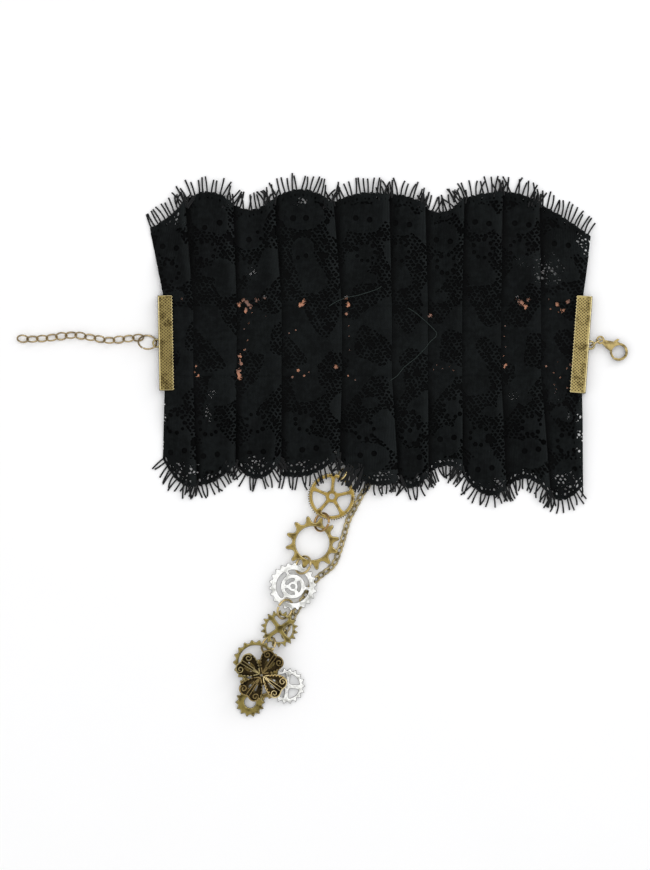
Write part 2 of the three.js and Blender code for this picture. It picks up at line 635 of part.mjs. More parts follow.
const armband = new THREE.Group();
armband.name = 'lace_armband';

function addPiece(name, geometry, material) {
  const mesh = new THREE.Mesh(geometry, new THREE.MeshStandardMaterial(material));
  mesh.name = name;
  armband.add(mesh);
  return mesh;
}

addPiece('backing_strip', backingStrip(), SATIN);
addPiece('pleated_lace', pleatedLace(), LACE);

for (const [side, clamp] of Object.entries(CLAMPS)) {
  const mesh = addPiece(`clamp_${side}`, ribbonClamp(clamp), BRONZE);
  mesh.position.set(clamp.x, clamp.y, 0);
  mesh.rotation.z = radians(clamp.turn);
}

for (const gear of GEARS) {
  const outline = plate(gearShape(gear), -GEAR_THICK / 2, GEAR_THICK);
  const mesh = addPiece(gear.name, outline, { color: gear.colour, ...METAL });
  mesh.position.set(gear.x, gear.y, gear.z);
}

for (const ring of GEAR_RINGS) {
  const [from, to] = passPoints(ring.joins);
  const radius = new THREE.Vector3(...from).distanceTo(new THREE.Vector3(...to)) / 2 + JOIN_EASE;
  addPiece(ring.name, ringThrough({ ...ring, from, to, radius }), BRONZE);
}
for (const ring of END_RINGS) addPiece(ring.name, ringThrough(ring), BRONZE);

addPiece(HANGER.name, hangerCord(), SATIN);
addPiece(EXTENDER.name, chainOf(EXTENDER), BRONZE);
addPiece(FINE_CHAIN.name, strand(FINE_CHAIN), BRONZE);

const flower = addPiece('filigree_flower', filigreeFlower(), BRONZE);
flower.position.set(FLOWER.x, FLOWER.y, FLOWER.z);

const clasp = new THREE.Group();
clasp.add(addPiece('clasp_body', claspBody(), BRONZE));
clasp.add(addPiece('clasp_lever', claspLever(), BRONZE));
clasp.position.set(CLASP.x, CLASP.y, CLASP.height);
clasp.rotation.z = radians(CLASP.turn);
armband.add(clasp);

export default armband;
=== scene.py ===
import math
import bmesh
import bpy
import numpy as np
from mathutils import Matrix, Vector


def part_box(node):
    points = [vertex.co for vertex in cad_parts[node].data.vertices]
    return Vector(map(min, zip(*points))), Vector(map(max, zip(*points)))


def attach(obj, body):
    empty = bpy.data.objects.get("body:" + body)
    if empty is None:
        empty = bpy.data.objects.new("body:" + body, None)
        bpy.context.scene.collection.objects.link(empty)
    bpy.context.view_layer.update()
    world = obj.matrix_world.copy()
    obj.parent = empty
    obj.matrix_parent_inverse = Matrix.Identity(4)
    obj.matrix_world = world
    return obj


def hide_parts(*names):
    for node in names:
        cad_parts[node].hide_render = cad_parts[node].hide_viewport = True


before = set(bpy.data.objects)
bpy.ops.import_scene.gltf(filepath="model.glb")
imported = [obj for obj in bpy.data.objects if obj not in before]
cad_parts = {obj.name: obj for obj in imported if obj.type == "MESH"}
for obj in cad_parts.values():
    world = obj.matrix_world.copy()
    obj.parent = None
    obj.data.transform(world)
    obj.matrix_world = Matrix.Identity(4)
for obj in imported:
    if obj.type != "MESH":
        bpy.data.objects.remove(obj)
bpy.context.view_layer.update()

mm = 0.001
root = "armband"


# shader trees written as expressions
class Wire:
    # one output of a shader node
    def __init__(self, finish, socket):
        self.finish, self.socket = finish, socket

    def maths(self, operation, *values):
        return self.finish.node("ShaderNodeMath", {"operation": operation}, dict(enumerate(values)))

    def __add__(self, other):
        return self.maths("ADD", self, other)

    def __sub__(self, other):
        return self.maths("SUBTRACT", self, other)

    def __rsub__(self, other):
        return self.maths("SUBTRACT", other, self)

    def __mul__(self, other):
        return self.maths("MULTIPLY", self, other)

    __radd__ = __add__
    __rmul__ = __mul__

    def sine(self):
        return self.maths("SINE", self)

    def smooth(self, low, high):
        return self.finish.node("ShaderNodeMapRange", {"interpolation_type": "SMOOTHSTEP"},
                                {"Value": self, "From Min": low, "From Max": high})


class Finish:
    # a material, its tree and its one Principled shader
    def __init__(self, name, **plain):
        self.material = bpy.data.materials.new(name)
        self.material.use_nodes = True
        self.tree = self.material.node_tree
        self.tree.nodes.clear()
        self.out = self.tree.nodes.new("ShaderNodeOutputMaterial")
        self.shader = self.tree.nodes.new("ShaderNodeBsdfPrincipled")
        self.tree.links.new(self.shader.outputs[0], self.out.inputs[0])
        self.set(**plain)

    def node(self, kind, settings=None, inputs=None, output=0):
        made = self.tree.nodes.new(kind)
        for key, value in (settings or {}).items():
            setattr(made, key, value)
        for key, value in (inputs or {}).items():
            self.feed(made.inputs[key], value)
        return Wire(self, made.outputs[output])

    def feed(self, socket, value):
        if isinstance(value, Wire):
            self.tree.links.new(value.socket, socket)
        else:
            socket.default_value = value

    def set(self, **sockets):
        for key, value in sockets.items():
            if isinstance(value, tuple) and len(value) == 3:
                value = (*value, 1)
            self.feed(self.shader.inputs[key.replace("_", " ")], value)

    def place(self):
        return self.node("ShaderNodeTexCoord", output=3)

    def uv(self):
        return self.node("ShaderNodeTexCoord", output=2)

    def attribute(self, name):
        return self.node("ShaderNodeAttribute", {"attribute_name": name}, output=2)

    def noise(self, where, scale, detail=3, rough=0.55):
        return self.node("ShaderNodeTexNoise", {}, {"Vector": where, "Scale": scale, "Detail": detail,
                                                    "Roughness": rough})

    def mix(self, share, first, second):
        pair = [(*c, 1) if isinstance(c, tuple) else c for c in (first, second)]
        return self.node("ShaderNodeMix", {"data_type": "RGBA"}, {0: share, 6: pair[0], 7: pair[1]}, 2)

    def bump(self, height, strength, distance):
        return self.node("ShaderNodeBump", {}, {"Height": height, "Strength": strength, "Distance": distance})


# objects and meshes
def added(name, data):
    # an object in the scene, with this mesh, curve, lamp or lens
    thing = bpy.data.objects.new(name, data)
    bpy.context.scene.collection.objects.link(thing)
    return thing


def addPiece(name, mesh, node, body=root):
    piece = added(name, mesh)
    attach(piece, body)
    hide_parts(node)
    return piece


def pieceName(kind, node):
    return kind + "".join(word.capitalize() for word in node.split("_"))


def makeMesh(name, points, faces, material, flat, node, shades=()):
    # a smooth piece with a flat map; shades are values that its finish reads from faces or points
    mesh = bpy.data.meshes.new(name)
    mesh.from_pydata([tuple(p) for p in np.asarray(points) * mm], [], [tuple(f) for f in faces])
    setSmooth(mesh)
    loops = np.empty(len(mesh.loops), dtype=np.int32)
    mesh.loops.foreach_get("vertex_index", loops)
    mesh.uv_layers.new(name="flat").data.foreach_set("uv", np.asarray(flat, dtype=np.float32)[loops].ravel())
    for key, domain, values in shades:
        layer = mesh.attributes.new(key, "FLOAT", domain)
        layer.data.foreach_set("value", np.asarray(values, dtype=np.float32))
    mesh.materials.append(material)
    mesh.validate()
    mesh.update()
    return addPiece(name, mesh, node)


def setSmooth(mesh):
    mesh.polygons.foreach_set("use_smooth", [True] * len(mesh.polygons))


def setWearAndShade(mesh, values):
    # how worn the faces are above 0, where they are bright; below 0 shade is painted on them
    layer = mesh.attributes.get("worn") or mesh.attributes.new("worn", "FLOAT", "FACE")
    layer.data.foreach_set("value", np.zeros(len(mesh.polygons), dtype=np.float32) + np.float32(values))


def dressed(mesh, material):
    mesh.materials.clear()
    mesh.materials.append(material)
    return mesh


def shifted(mesh, x, y, z):
    mesh.transform(Matrix.Translation(Vector((x, y, z)) * mm))
    return mesh


def pointsOf(mesh):
    points = np.empty(len(mesh.vertices) * 3, dtype=np.float32)
    mesh.vertices.foreach_get("co", points)
    return points.reshape(-1, 3)


def setPoints(mesh, points):
    mesh.vertices.foreach_set("co", points.ravel())
    mesh.update()
    return mesh


def settled(source, name):
    # the evaluated shape of an object with live modifiers, or of a curve, as a plain mesh
    bpy.context.view_layer.update()
    graph = bpy.context.evaluated_depsgraph_get()
    mesh = bpy.data.meshes.new_from_object(source.evaluated_get(graph))
    mesh.name = name
    bpy.data.objects.remove(source)
    return mesh


def joined(meshes, name, mergeAt=None):
    # several plain meshes as one, with doubles merged and faces turned outwards where asked
    work = bmesh.new()
    materials = []
    for mesh in meshes:
        own = [materials.index(m) if m in materials else (materials.append(m) or len(materials) - 1)
               for m in mesh.materials]
        before = len(work.faces)
        work.from_mesh(mesh)
        work.faces.ensure_lookup_table()
        for k in range(before, len(work.faces)):
            work.faces[k].material_index = own[work.faces[k].material_index] if own else 0
    if mergeAt:
        bmesh.ops.remove_doubles(work, verts=work.verts, dist=mergeAt)
        bmesh.ops.recalc_face_normals(work, faces=work.faces)
    whole = bpy.data.meshes.new(name)
    work.to_mesh(whole)
    work.free()
    for material in materials:
        whole.materials.append(material)
    return whole


def basis(along, up, centre):
    # a matrix in metres from a unit direction, an upward one and a centre in millimetres
    across = (up - along * along.dot(up)).normalized()
    turn = Matrix((along, across, along.cross(across))).transposed().to_4x4()
    return Matrix.Translation(centre * mm) @ turn


def mixed(low, high, share):
    return low + (high - low) * share


def smoothStep(value, low, high):
    t = np.clip((value - low) / (high - low), 0, 1)
    return t * t * (3 - 2 * t)


def runOf(*coordinates):
    # the length run along a line of points, at each of them
    steps = np.sqrt(sum(np.diff(values) ** 2 for values in coordinates))
    return np.concatenate([[0], np.cumsum(steps)])


# finishes
def makeAgedMetal(name, base, tarnish, bright, rough, tarnishShare, grain=0.5, pits=0.0, grime=0.35):
    # grime is how much of the tarnish's tone the shade painted on sideways faces keeps
    finish = Finish(name, Metallic=1.0, Coat_Roughness=0.15)
    where = finish.place()
    cloudy = finish.noise(where, 420, 4, 0.6).smooth(0.62 - tarnishShare * 0.35, 0.78 - tarnishShare * 0.2)
    fine = finish.noise(where, 3600, 3, 0.7)
    # above 0 where handling wears the edges bright, below 0 on faces that turn sideways, where shade is
    # painted dark
    edge = finish.attribute("worn")
    # the wear part alone: edges rubbed bright
    worn = edge.smooth(0.0, 1.0) * fine.smooth(0.25, 0.6)
    paintedSideShade = (edge * -1).smooth(0.0, 1.0)
    colour = finish.mix(cloudy, base, tarnish)
    colour = finish.mix(fine.smooth(0.5, 0.8) * 0.35, colour, tarnish)
    colour = finish.mix(worn * 0.85, colour, bright)
    # painted shade on the faces that turn sideways
    colour = finish.mix(paintedSideShade * 0.85, colour, tuple(v * grime for v in tarnish))
    roughness = (cloudy * 0.16 + fine * 0.14 + (rough - 0.07)) - worn * 0.1
    height = fine * grain + finish.noise(where, 900, 2) * 0.5
    if pits:
        cells = finish.node("ShaderNodeTexVoronoi", {"feature": "F1"}, {"Vector": where, "Scale": 1900.0})
        height = height + cells.smooth(0.05, 0.42) * pits
        colour = finish.mix((1 - cells.smooth(0.1, 0.5)) * 0.3, colour, tarnish)
    finish.set(Base_Color=colour, Roughness=roughness,
               Normal=finish.bump(height, 0.35, 0.00008))
    return finish.material


# the black lace: widths in metres, and colours of the thread, of the painted highlight on its folds and of
# the gaps in it, which the painted shade in the folds' hollows darkens towards
laceLook = {"ribWidth": 0.00046, "netCell": 0.00088, "dark": (0.0022, 0.0030, 0.0032),
            "light": (0.0065, 0.0083, 0.0087), "fold": (0.0150, 0.0180, 0.0186),
            "gap": (0.0003, 0.0003, 0.0004)}
# pitch of a cord's twist and of the satin's threads, in metres
weave = {"twist": 0.0007, "warp": 0.00034, "weft": 0.00062}


def makeLaceThread(name):
    # ribbed solid motifs and a fine net between them, told apart by a face value
    finish = Finish(name, Metallic=0.0, Sheen_Weight=0.03, Sheen_Roughness=0.5, Specular_IOR_Level=0.06)
    flat = finish.uv()
    across = finish.node("ShaderNodeSeparateXYZ", {}, {0: flat})
    wander = finish.noise(flat, 240, 2)
    ribs = (across * (2 * math.pi / laceLook["ribWidth"]) + wander * 9.0).sine() * 0.5 + 0.5
    cells = finish.node("ShaderNodeTexVoronoi", {"feature": "DISTANCE_TO_EDGE"},
                        {"Vector": flat, "Scale": 1 / laceLook["netCell"], "Randomness": 0.55})
    net = 1 - cells.smooth(0.05, 0.26)
    dense = finish.attribute("dense")
    thread = dense * (ribs * 0.45 + 0.55) + (1 - dense) * (net * 0.4 + 0.6)
    where = finish.place()
    tone = finish.noise(where, 95, 3) * 0.5 + finish.noise(where, 620, 3) * 0.5
    lit = finish.mix(tone.smooth(0.38, 0.64), laceLook["dark"], laceLook["light"])
    # painted shade above 0, in the hollow beside a fold and on the hidden layers; painted highlight below 0,
    # on the fold
    paintedFoldShading = finish.attribute("paintedFoldShading")
    # painted highlight: the cloth before a fold takes the lighter fold colour
    lit = finish.mix((paintedFoldShading * -1).smooth(0.0, 1.0) * 0.8, lit, laceLook["fold"])
    # painted shade: the thread darkens towards the gaps' colour
    thread = thread * (1 - paintedFoldShading.smooth(0.0, 1.0) * 0.85)
    colour = finish.mix(thread, laceLook["gap"], lit)
    fuzz = finish.noise(flat, 5200, 2)
    finish.set(Base_Color=colour, Roughness=thread * -0.12 + 0.78,
               Normal=finish.bump(thread + fuzz * 0.3, 0.55, 0.00018))
    return finish.material


def makeThread(name, dark, light):
    finish = Finish(name, Sheen_Weight=0.06, Specular_IOR_Level=0.25)
    where = finish.place()
    fine = finish.noise(where, 2600, 3)
    coarse = finish.noise(where, 300, 2)
    stripe = finish.node("ShaderNodeTexWave", {"bands_direction": "DIAGONAL"},
                         {"Vector": where, "Scale": 0.3 / weave["twist"], "Distortion": 2.0}, 1)
    finish.set(Base_Color=finish.mix(fine * 0.6 + coarse * 0.4, dark, light), Roughness=fine * 0.2 + 0.62,
               Normal=finish.bump(fine + stripe * 0.6, 0.5, 0.00008))
    return finish.material


def makeSatin(name, dark, light):
    finish = Finish(name, Sheen_Weight=0.15, Specular_IOR_Level=0.6)
    where = finish.place()
    parts = [finish.node("ShaderNodeSeparateXYZ", {}, {0: where}, k) for k in (0, 1)]
    warp = (parts[1] * (2 * math.pi / weave["warp"])).sine() * 0.5 + 0.5
    weft = (parts[0] * (2 * math.pi / weave["weft"])).sine() * 0.5 + 0.5
    cloudy = finish.noise(where, 160, 3).smooth(0.38, 0.62)
    finish.set(Base_Color=finish.mix(warp * 0.25 + cloudy * 0.75, dark, light),
               Roughness=cloudy * 0.15 + 0.3, Normal=finish.bump(warp + weft * 0.3, 0.4, 0.00006))
    return finish.material


bronze = makeAgedMetal("antique bronze", (0.235, 0.175, 0.055), (0.085, 0.058, 0.018),
                       (0.80, 0.66, 0.34), 0.3, 0.5)
claspBronze = makeAgedMetal("clasp bronze", (0.31, 0.24, 0.10), (0.09, 0.062, 0.024),
                            (0.88, 0.76, 0.46), 0.24, 0.5)
clampGold = makeAgedMetal("ribbed antique gold", (0.27, 0.215, 0.085), (0.13, 0.098, 0.034),
                          (0.84, 0.73, 0.42), 0.32, 0.45)
ochre = makeAgedMetal("ochre bronze", (0.245, 0.17, 0.043), (0.09, 0.058, 0.016),
                      (0.74, 0.60, 0.30), 0.32, 0.48)
clampDark = makeAgedMetal("darker antique gold", (0.19, 0.15, 0.055), (0.095, 0.07, 0.024),
                          (0.78, 0.66, 0.36), 0.32, 0.45)
pitBrown = makeAgedMetal("dark pits", (0.085, 0.058, 0.026), (0.03, 0.02, 0.01), (0.22, 0.16, 0.07), 0.5, 0.5)
olive = makeAgedMetal("olive bronze", (0.19, 0.15, 0.046), (0.055, 0.04, 0.013),
                      (0.62, 0.52, 0.26), 0.32, 0.55)
copperBrown = makeAgedMetal("brown bronze", (0.36, 0.20, 0.075), (0.12, 0.055, 0.022),
                            (0.66, 0.46, 0.2), 0.2, 0.4)
paleGold = makeAgedMetal("light gold", (0.50, 0.37, 0.15), (0.20, 0.135, 0.05), (0.85, 0.72, 0.42), 0.22, 0.4)
# a near-black bronze that paints the flower's petals and boss in shade
paintedShadeBronze = makeAgedMetal("dark bronze", (0.030, 0.021, 0.009), (0.008, 0.006, 0.004),
                           (0.46, 0.34, 0.14), 0.36, 0.5)
silver = makeAgedMetal("matte silver", (0.76, 0.76, 0.74), (0.40, 0.40, 0.375), (0.97, 0.97, 0.96), 0.42, 0.5,
                       grain=0.8, pits=1.0, grime=0.5)
chainBronze = makeAgedMetal("chain bronze", (0.36, 0.27, 0.14), (0.10, 0.07, 0.04),
                            (0.66, 0.53, 0.32), 0.26, 0.5)
fineGold = makeAgedMetal("fine chain gold", (0.31, 0.235, 0.095), (0.035, 0.024, 0.01),
                         (0.92, 0.80, 0.48), 0.18, 0.62)
laceThread = makeLaceThread("black lace thread")
lashThread = makeThread("black lash thread", (0.0015, 0.0016, 0.0018), (0.007, 0.0078, 0.0088))
looseThread = makeThread("loose sewing thread", (0.008, 0.014, 0.013), (0.024, 0.038, 0.034))
cordThread = makeThread("black cord", (0.003, 0.003, 0.0035), (0.012, 0.012, 0.014))
copperSatin = makeSatin("copper satin", (0.13, 0.04, 0.018), (0.60, 0.235, 0.11))
print("finishes made")


# geometry node trees
class Grove:
    # a geometry node tree with named number inputs and one geometry in and out
    def __init__(self, name, sizes):
        self.tree = bpy.data.node_groups.new(name, "GeometryNodeTree")
        self.sizes = sizes
        face = self.tree.interface
        face.new_socket(name="Geometry", in_out="INPUT", socket_type="NodeSocketGeometry")
        face.new_socket(name="Geometry", in_out="OUTPUT", socket_type="NodeSocketGeometry")
        for key in sizes:
            face.new_socket(name=key, in_out="INPUT", socket_type="NodeSocketFloat")
        self.start = self.tree.nodes.new("NodeGroupInput")
        self.end = self.tree.nodes.new("NodeGroupOutput")

    def size(self, name):
        return self.start.outputs[name]

    def node(self, kind, settings=None, inputs=None, output=0):
        made = self.tree.nodes.new(kind)
        for key, value in (settings or {}).items():
            setattr(made, key, value)
        for key, value in (inputs or {}).items():
            if isinstance(value, bpy.types.NodeSocket):
                self.tree.links.new(value, made.inputs[key])
            else:
                made.inputs[key].default_value = value
        return made.outputs[output]

    def finish(self, geometry, material):
        real = self.node("GeometryNodeRealizeInstances", {}, {0: geometry})
        dressed = self.node("GeometryNodeSetMaterial", {}, {"Geometry": real, "Material": material})
        self.tree.links.new(dressed, self.end.inputs[0])

    def wear(self, thing):
        modifier = thing.modifiers.new(self.tree.name, "NODES")
        modifier.node_group = self.tree
        for item in self.tree.interface.items_tree:
            if item.in_out == "INPUT" and item.name in self.sizes:
                modifier[item.identifier] = self.sizes[item.name]


def scattered(name, grove, build, places, turns, scales, material):
    # instances of what build makes on points in millimetres, with a turn and a scale for each or for all
    mesh = bpy.data.meshes.new(name + "Points")
    mesh.from_pydata([tuple(p) for p in np.asarray(places) * mm], [], [])
    for key, values in (("turn", turns), ("scale", scales)):
        values = np.broadcast_to(np.asarray(values, dtype=np.float32), (len(places), 3))
        mesh.attributes.new(key, "FLOAT_VECTOR", "POINT").data.foreach_set("vector", values.ravel())
    holder = added(name + "Points", mesh)
    named = [grove.node("GeometryNodeInputNamedAttribute", {"data_type": "FLOAT_VECTOR"}, {"Name": key})
             for key in ("turn", "scale")]
    points = grove.node("GeometryNodeMeshToPoints", {}, {"Mesh": grove.size("Geometry")})
    spread = grove.node("GeometryNodeInstanceOnPoints", {}, {"Points": points, "Instance": build(grove),
                                                            "Rotation": named[0], "Scale": named[1]})
    grove.finish(spread, material)
    grove.wear(holder)
    return settled(holder, name)


def ovalLink(grove):
    # one chain link, long way along X, its wire swept round an oval
    loop = grove.node("GeometryNodeCurvePrimitiveCircle", {"mode": "RADIUS"},
                      {"Resolution": 22, "Radius": 1.0})
    stretch = grove.node("ShaderNodeCombineXYZ", {},
                         {0: grove.size("Half Length"), 1: grove.size("Half Width"), 2: 1.0})
    oval = grove.node("GeometryNodeTransform", {}, {"Geometry": loop, "Scale": stretch})
    wire = grove.node("GeometryNodeCurvePrimitiveCircle", {"mode": "RADIUS"},
                      {"Resolution": 9, "Radius": grove.size("Wire Radius")})
    tube = grove.node("GeometryNodeCurveToMesh", {}, {"Curve": oval, "Profile Curve": wire})
    return grove.node("GeometryNodeSetShadeSmooth", {}, {"Geometry": tube})


def bead(grove):
    ball = grove.node("GeometryNodeMeshIcoSphere", {}, {"Radius": grove.size("Radius"), "Subdivisions": 2})
    return grove.node("GeometryNodeSetShadeSmooth", {}, {"Geometry": ball})


def eyelash(grove):
    # one lash along X: it bends sideways and narrows a little to its blunt tip
    tip = grove.node("ShaderNodeCombineXYZ", {}, {0: grove.size("Length"), 1: grove.size("Bend")})
    middle = grove.node("ShaderNodeCombineXYZ", {}, {0: grove.size("Middle"), 1: 0.0})
    line = grove.node("GeometryNodeCurveQuadraticBezier", {},
                      {"Resolution": 6, "Start": (0, 0, 0), "Middle": middle, "End": tip})
    along = grove.node("GeometryNodeSplineParameter")
    taper = grove.node("ShaderNodeMapRange", {}, {"Value": along, "To Min": 1.0, "To Max": 0.85})
    narrow = grove.node("GeometryNodeSetCurveRadius", {}, {"Curve": line, "Radius": taper})
    wire = grove.node("GeometryNodeCurvePrimitiveCircle", {"mode": "RADIUS"},
                      {"Resolution": 5, "Radius": grove.size("Thread Radius")})
    tube = grove.node("GeometryNodeCurveToMesh", {},
                      {"Curve": narrow, "Profile Curve": wire, "Fill Caps": True})
    return grove.node("GeometryNodeSetShadeSmooth", {}, {"Geometry": tube})


# metal blanks and wires: faces that look up less than "level" and more than "upward" are worn bright, and
# shade is painted on those that look up less than "upward"
metalwork = {"mergeAt": 0.002, "level": 0.975, "upward": 0.8,
             "ringSteps": 56, "ringSection": 14, "ringCut": 3.0, "ringWorn": 0.5}


def shapeOf(curve, name):
    mesh = settled(added(name, curve), name)
    bpy.data.curves.remove(curve)
    return mesh


def blank(name, loops, thick, bevel, material, steps=1):
    # a flat plate from outlines in millimetres, with rounded edges; its base lies at z = 0
    curve = bpy.data.curves.new(name, "CURVE")
    curve.dimensions, curve.fill_mode = "2D", "BOTH"
    curve.extrude, curve.bevel_depth, curve.bevel_resolution = thick / 2 - bevel, bevel, steps
    curve.offset = -bevel
    for loop in loops:
        line = curve.splines.new("POLY")
        line.points.add(len(loop) - 1)
        line.points.foreach_set("co", np.array([(x, y, 0, 1) for x, y in loop], dtype=np.float32).ravel())
        line.use_cyclic_u = True
    mesh = joined([shapeOf(curve, name)], name, metalwork["mergeAt"])
    mesh.transform(Matrix.Translation((0, 0, thick / 2)))
    mesh.transform(Matrix.Scale(mm, 4))
    markWearAndShade(mesh)
    return dressed(mesh, material)


def markWearAndShade(mesh):
    # rounded edges wear bright where they turn up, and shade is painted on them where they turn sideways
    normals = np.empty(len(mesh.polygons) * 3, dtype=np.float32)
    mesh.polygons.foreach_get("normal", normals)
    rise = np.abs(normals.reshape(-1, 3)[:, 2])
    setWearAndShade(mesh, np.where(rise > metalwork["level"], 0.0, np.where(rise > metalwork["upward"], 1.0, -1.0)))


def circle(radius, count):
    angles = [k * 2 * math.pi / count for k in range(count)]
    return [(radius * math.cos(angle), radius * math.sin(angle)) for angle in angles]


def wireRing(radius, wire, name, material, split=None):
    # a round ring of wire about the origin, sizes in millimetres; split is where it is cut, in degrees
    around, section = metalwork["ringSteps"], metalwork["ringSection"]
    gap = math.radians(metalwork["ringCut"]) if split is not None else 0
    angles = np.linspace(gap, 2 * math.pi - gap, around, endpoint=split is not None)
    angles = angles + math.radians(split or 0)
    turns = np.arange(section) * 2 * math.pi / section
    away = radius + wire * np.cos(turns)[None, :]
    points = np.stack([away * np.cos(angles)[:, None], away * np.sin(angles)[:, None],
                       np.broadcast_to(wire * np.sin(turns), (around, section))], axis=2).reshape(-1, 3)
    faces = []
    for k in range(around - (split is not None)):
        for j in range(section):
            a, b = k * section + j, k * section + (j + 1) % section
            c, d = ((k + 1) % around) * section + (j + 1) % section, ((k + 1) % around) * section + j
            faces.append((a, d, c, b))
    if split is not None:
        faces.append(tuple(range(section)))
        faces.append(tuple((around - 1) * section + j for j in reversed(range(section))))
    mesh = bpy.data.meshes.new(name)
    mesh.from_pydata([tuple(p) for p in points * mm], [], faces)
    setSmooth(mesh)
    setWearAndShade(mesh, metalwork["ringWorn"])
    return dressed(mesh, material)


def wireAlong(name, route, radius, material, closed=False, resolution=3, worn=0.5, ends=1.0):
    # a smooth round wire through points in millimetres; ends is the share of its thickness that its ends have
    curve = bpy.data.curves.new(name, "CURVE")
    curve.dimensions, curve.bevel_depth, curve.bevel_resolution = "3D", radius * mm, resolution
    curve.use_fill_caps, curve.resolution_u = True, 4
    line = curve.splines.new("NURBS")
    line.points.add(len(route) - 1)
    for k, (x, y, z) in enumerate(route):
        line.points[k].co = (x * mm, y * mm, z * mm, 1)
        if not closed and k in (0, len(route) - 1):
            line.points[k].radius = ends
    line.order_u, line.use_endpoint_u, line.use_cyclic_u = 3, not closed, closed
    mesh = shapeOf(curve, name)
    setSmooth(mesh)
    setWearAndShade(mesh, worn)
    return dressed(mesh, material)


# the pleated lace, in millimetres: out is 0 on a seam and 1 on a scalloped edge, share 0 to 1 across a pleat
lace = {
    "seams": (12.5, -10.7), "overStrip": 1.8, "edgeHeight": 0.52, "bandRise": 0.6, "edgeRise": 2.2,
    "riseCurve": 1.5, "puff": 0.9, "above": 0.1,
    # the clamps press the lace flat: its height there, and where that fades away from a clamp and the middle
    "clampHeight": 2.35, "clampAt": (-69.5, 68.4), "clampFade": (4, 11), "clampSpan": (16.6, 25),
    # grooves of the seams and of two lines of stitches in the band
    "seamGroove": 0.2, "stitchLines": (4.2, 1.2), "stitchGroove": 0.14, "grooveWide": 0.32,
    # where each pleat's fold lies on the seams, the top edge and the low edge
    "foldSeam": (-69.9, -60.7, -46.3, -31.3, -11.3, 5.3, 17.3, 28.7, 41.7, 55.0, 68.8),
    "foldTop": (-75.0, -63.7, -47.7, -34.0, -14.3, 4.2, 16.2, 29.2, 42.0, 54.2, 71.7),
    "foldLow": (-70.7, -59.8, -47.0, -31.7, -12.3, 7.3, 17.3, 28.7, 43.3, 58.0, 69.2),
    # how far each pleat reaches from the middle line: start, middle, end
    "topReach": ((38.7, 42.0, 47.0), (47.3, 50.7, 47.0), (47.0, 44.8, 48.3), (48.3, 51.5, 47.0),
                 (47.0, 50.2, 49.8), (49.7, 49.3, 46.7), (46.3, 44.0, 48.7), (48.7, 50.0, 50.8),
                 (50.7, 50.0, 47.3), (47.0, 42.0, 35.7)),
    "lowReach": ((38.3, 46.0, 47.3), (47.3, 45.7, 40.7), (39.3, 45.0, 39.3), (43.7, 43.7, 37.7),
                 (37.7, 46.3, 45.7), (45.7, 48.0, 44.3), (44.0, 40.7, 42.7), (42.7, 50.0, 48.7),
                 (48.7, 45.0, 50.7), (50.7, 51.7, 47.0)),
    "lift": {"x": -10, "y": -40, "height": 2.7, "reachX": 15, "reachY": 17},
    "pitch": 0.34, "bandPitch": 0.36, "underPitch": 1.0, "foldRadius": 0.4, "rowsFrom": 12,
    # a fold's turns in degrees and its drop; the scallops' depth, pitch and raggedness
    "foldTurns": (30, 70, 110, 150, 180), "foldDrop": 0.55, "scallop": (0.38, 2.6, 0.12), "scallopIn": 0.25,
    # the whole lace's height, and on the flat map the cloth hidden at each fold and the first point's place
    "tall": 92, "foldHidden": 3.7, "flatStart": (80, 55),
    # how much shorter than the top layer the hidden ones are, on the top and the low edge
    "underShort": (1.0, 2.3), "underRagged": (0.9, 1.5), "underDrop": 0.1, "underRise": (0.5, 0.86),
    "underLowest": (0.22, 0.1),
    # the scalloped border: how far in its openings lie, their pitch and half sizes, and its inner line
    "border": {"at": 1.95, "pitch": 1.35, "halfWide": 0.36, "halfTall": 0.5, "inner": 2.8},
    "meshWide": 1.6, "meshTall": 2.3, "netThread": 0.36, "solidThread": 0.3,
    # paintedFoldShading is how far right of a fold the painted shade reaches, and paintedLightPart where
    # across a pleat the painted highlight before the next fold grows
    "paintedFoldShading": 2.3, "paintedLightPart": (0.72, 0.97), "speck": 0.9, "speckMargin": 0.6, "leastIsland": 60,
}
# the motifs of a panel: holes in pairs near the scallop, holes round a flower's heart, and solid petals
motifs = {"middlePlay": 1.5, "pairIn": (8.3, 10.2), "pairApart": 2.3, "pairRadius": 0.95, "pairNeeds": 10,
          "pairsInList": (1, 2, 3), "flowerInList": 3, "flowerIn": (17.5, 20.0), "flowerPlay": 2.2,
          "flowerHoles": 9, "flowerRadius": 3.1, "holeRadius": (0.55, 0.8), "anglePlay": 0.12, "heart": 4.3,
          "edgeIn": 8.5, "edgeWide": 0.44, "edgeTall": 5.6, "leafIn": (26, 29), "leafPlay": 3,
          "leafHalf": (3.2, 2.1)}
edgeKeys = {1: ("foldTop", "topReach"), -1: ("foldLow", "lowReach")}
pleatCount = len(lace["topReach"])
bandTall = lace["seams"][0] - lace["seams"][1]
bandMiddle = sum(lace["seams"]) / 2


def foldAt(key, station):
    return np.interp(station, np.arange(pleatCount + 1), lace[key])


def reachOf(key, pleat, share):
    start, middle, end = lace[key][pleat]
    return mixed(start, end, share) + 4 * (middle - (start + end) / 2) * share * (1 - share)


def raisedAt(x, y):
    # the swell over the hidden start of the drop
    lift = lace["lift"]
    return lift["height"] * np.exp(-((x - lift["x"]) / lift["reachX"]) ** 4) * \
        np.exp(-((y - lift["y"]) / lift["reachY"]) ** 4)


def riseAt(out, share=1):
    # how far a pleat has risen over its start, most at its fold
    return mixed(lace["bandRise"], lace["edgeRise"], out) * share ** lace["riseCurve"]


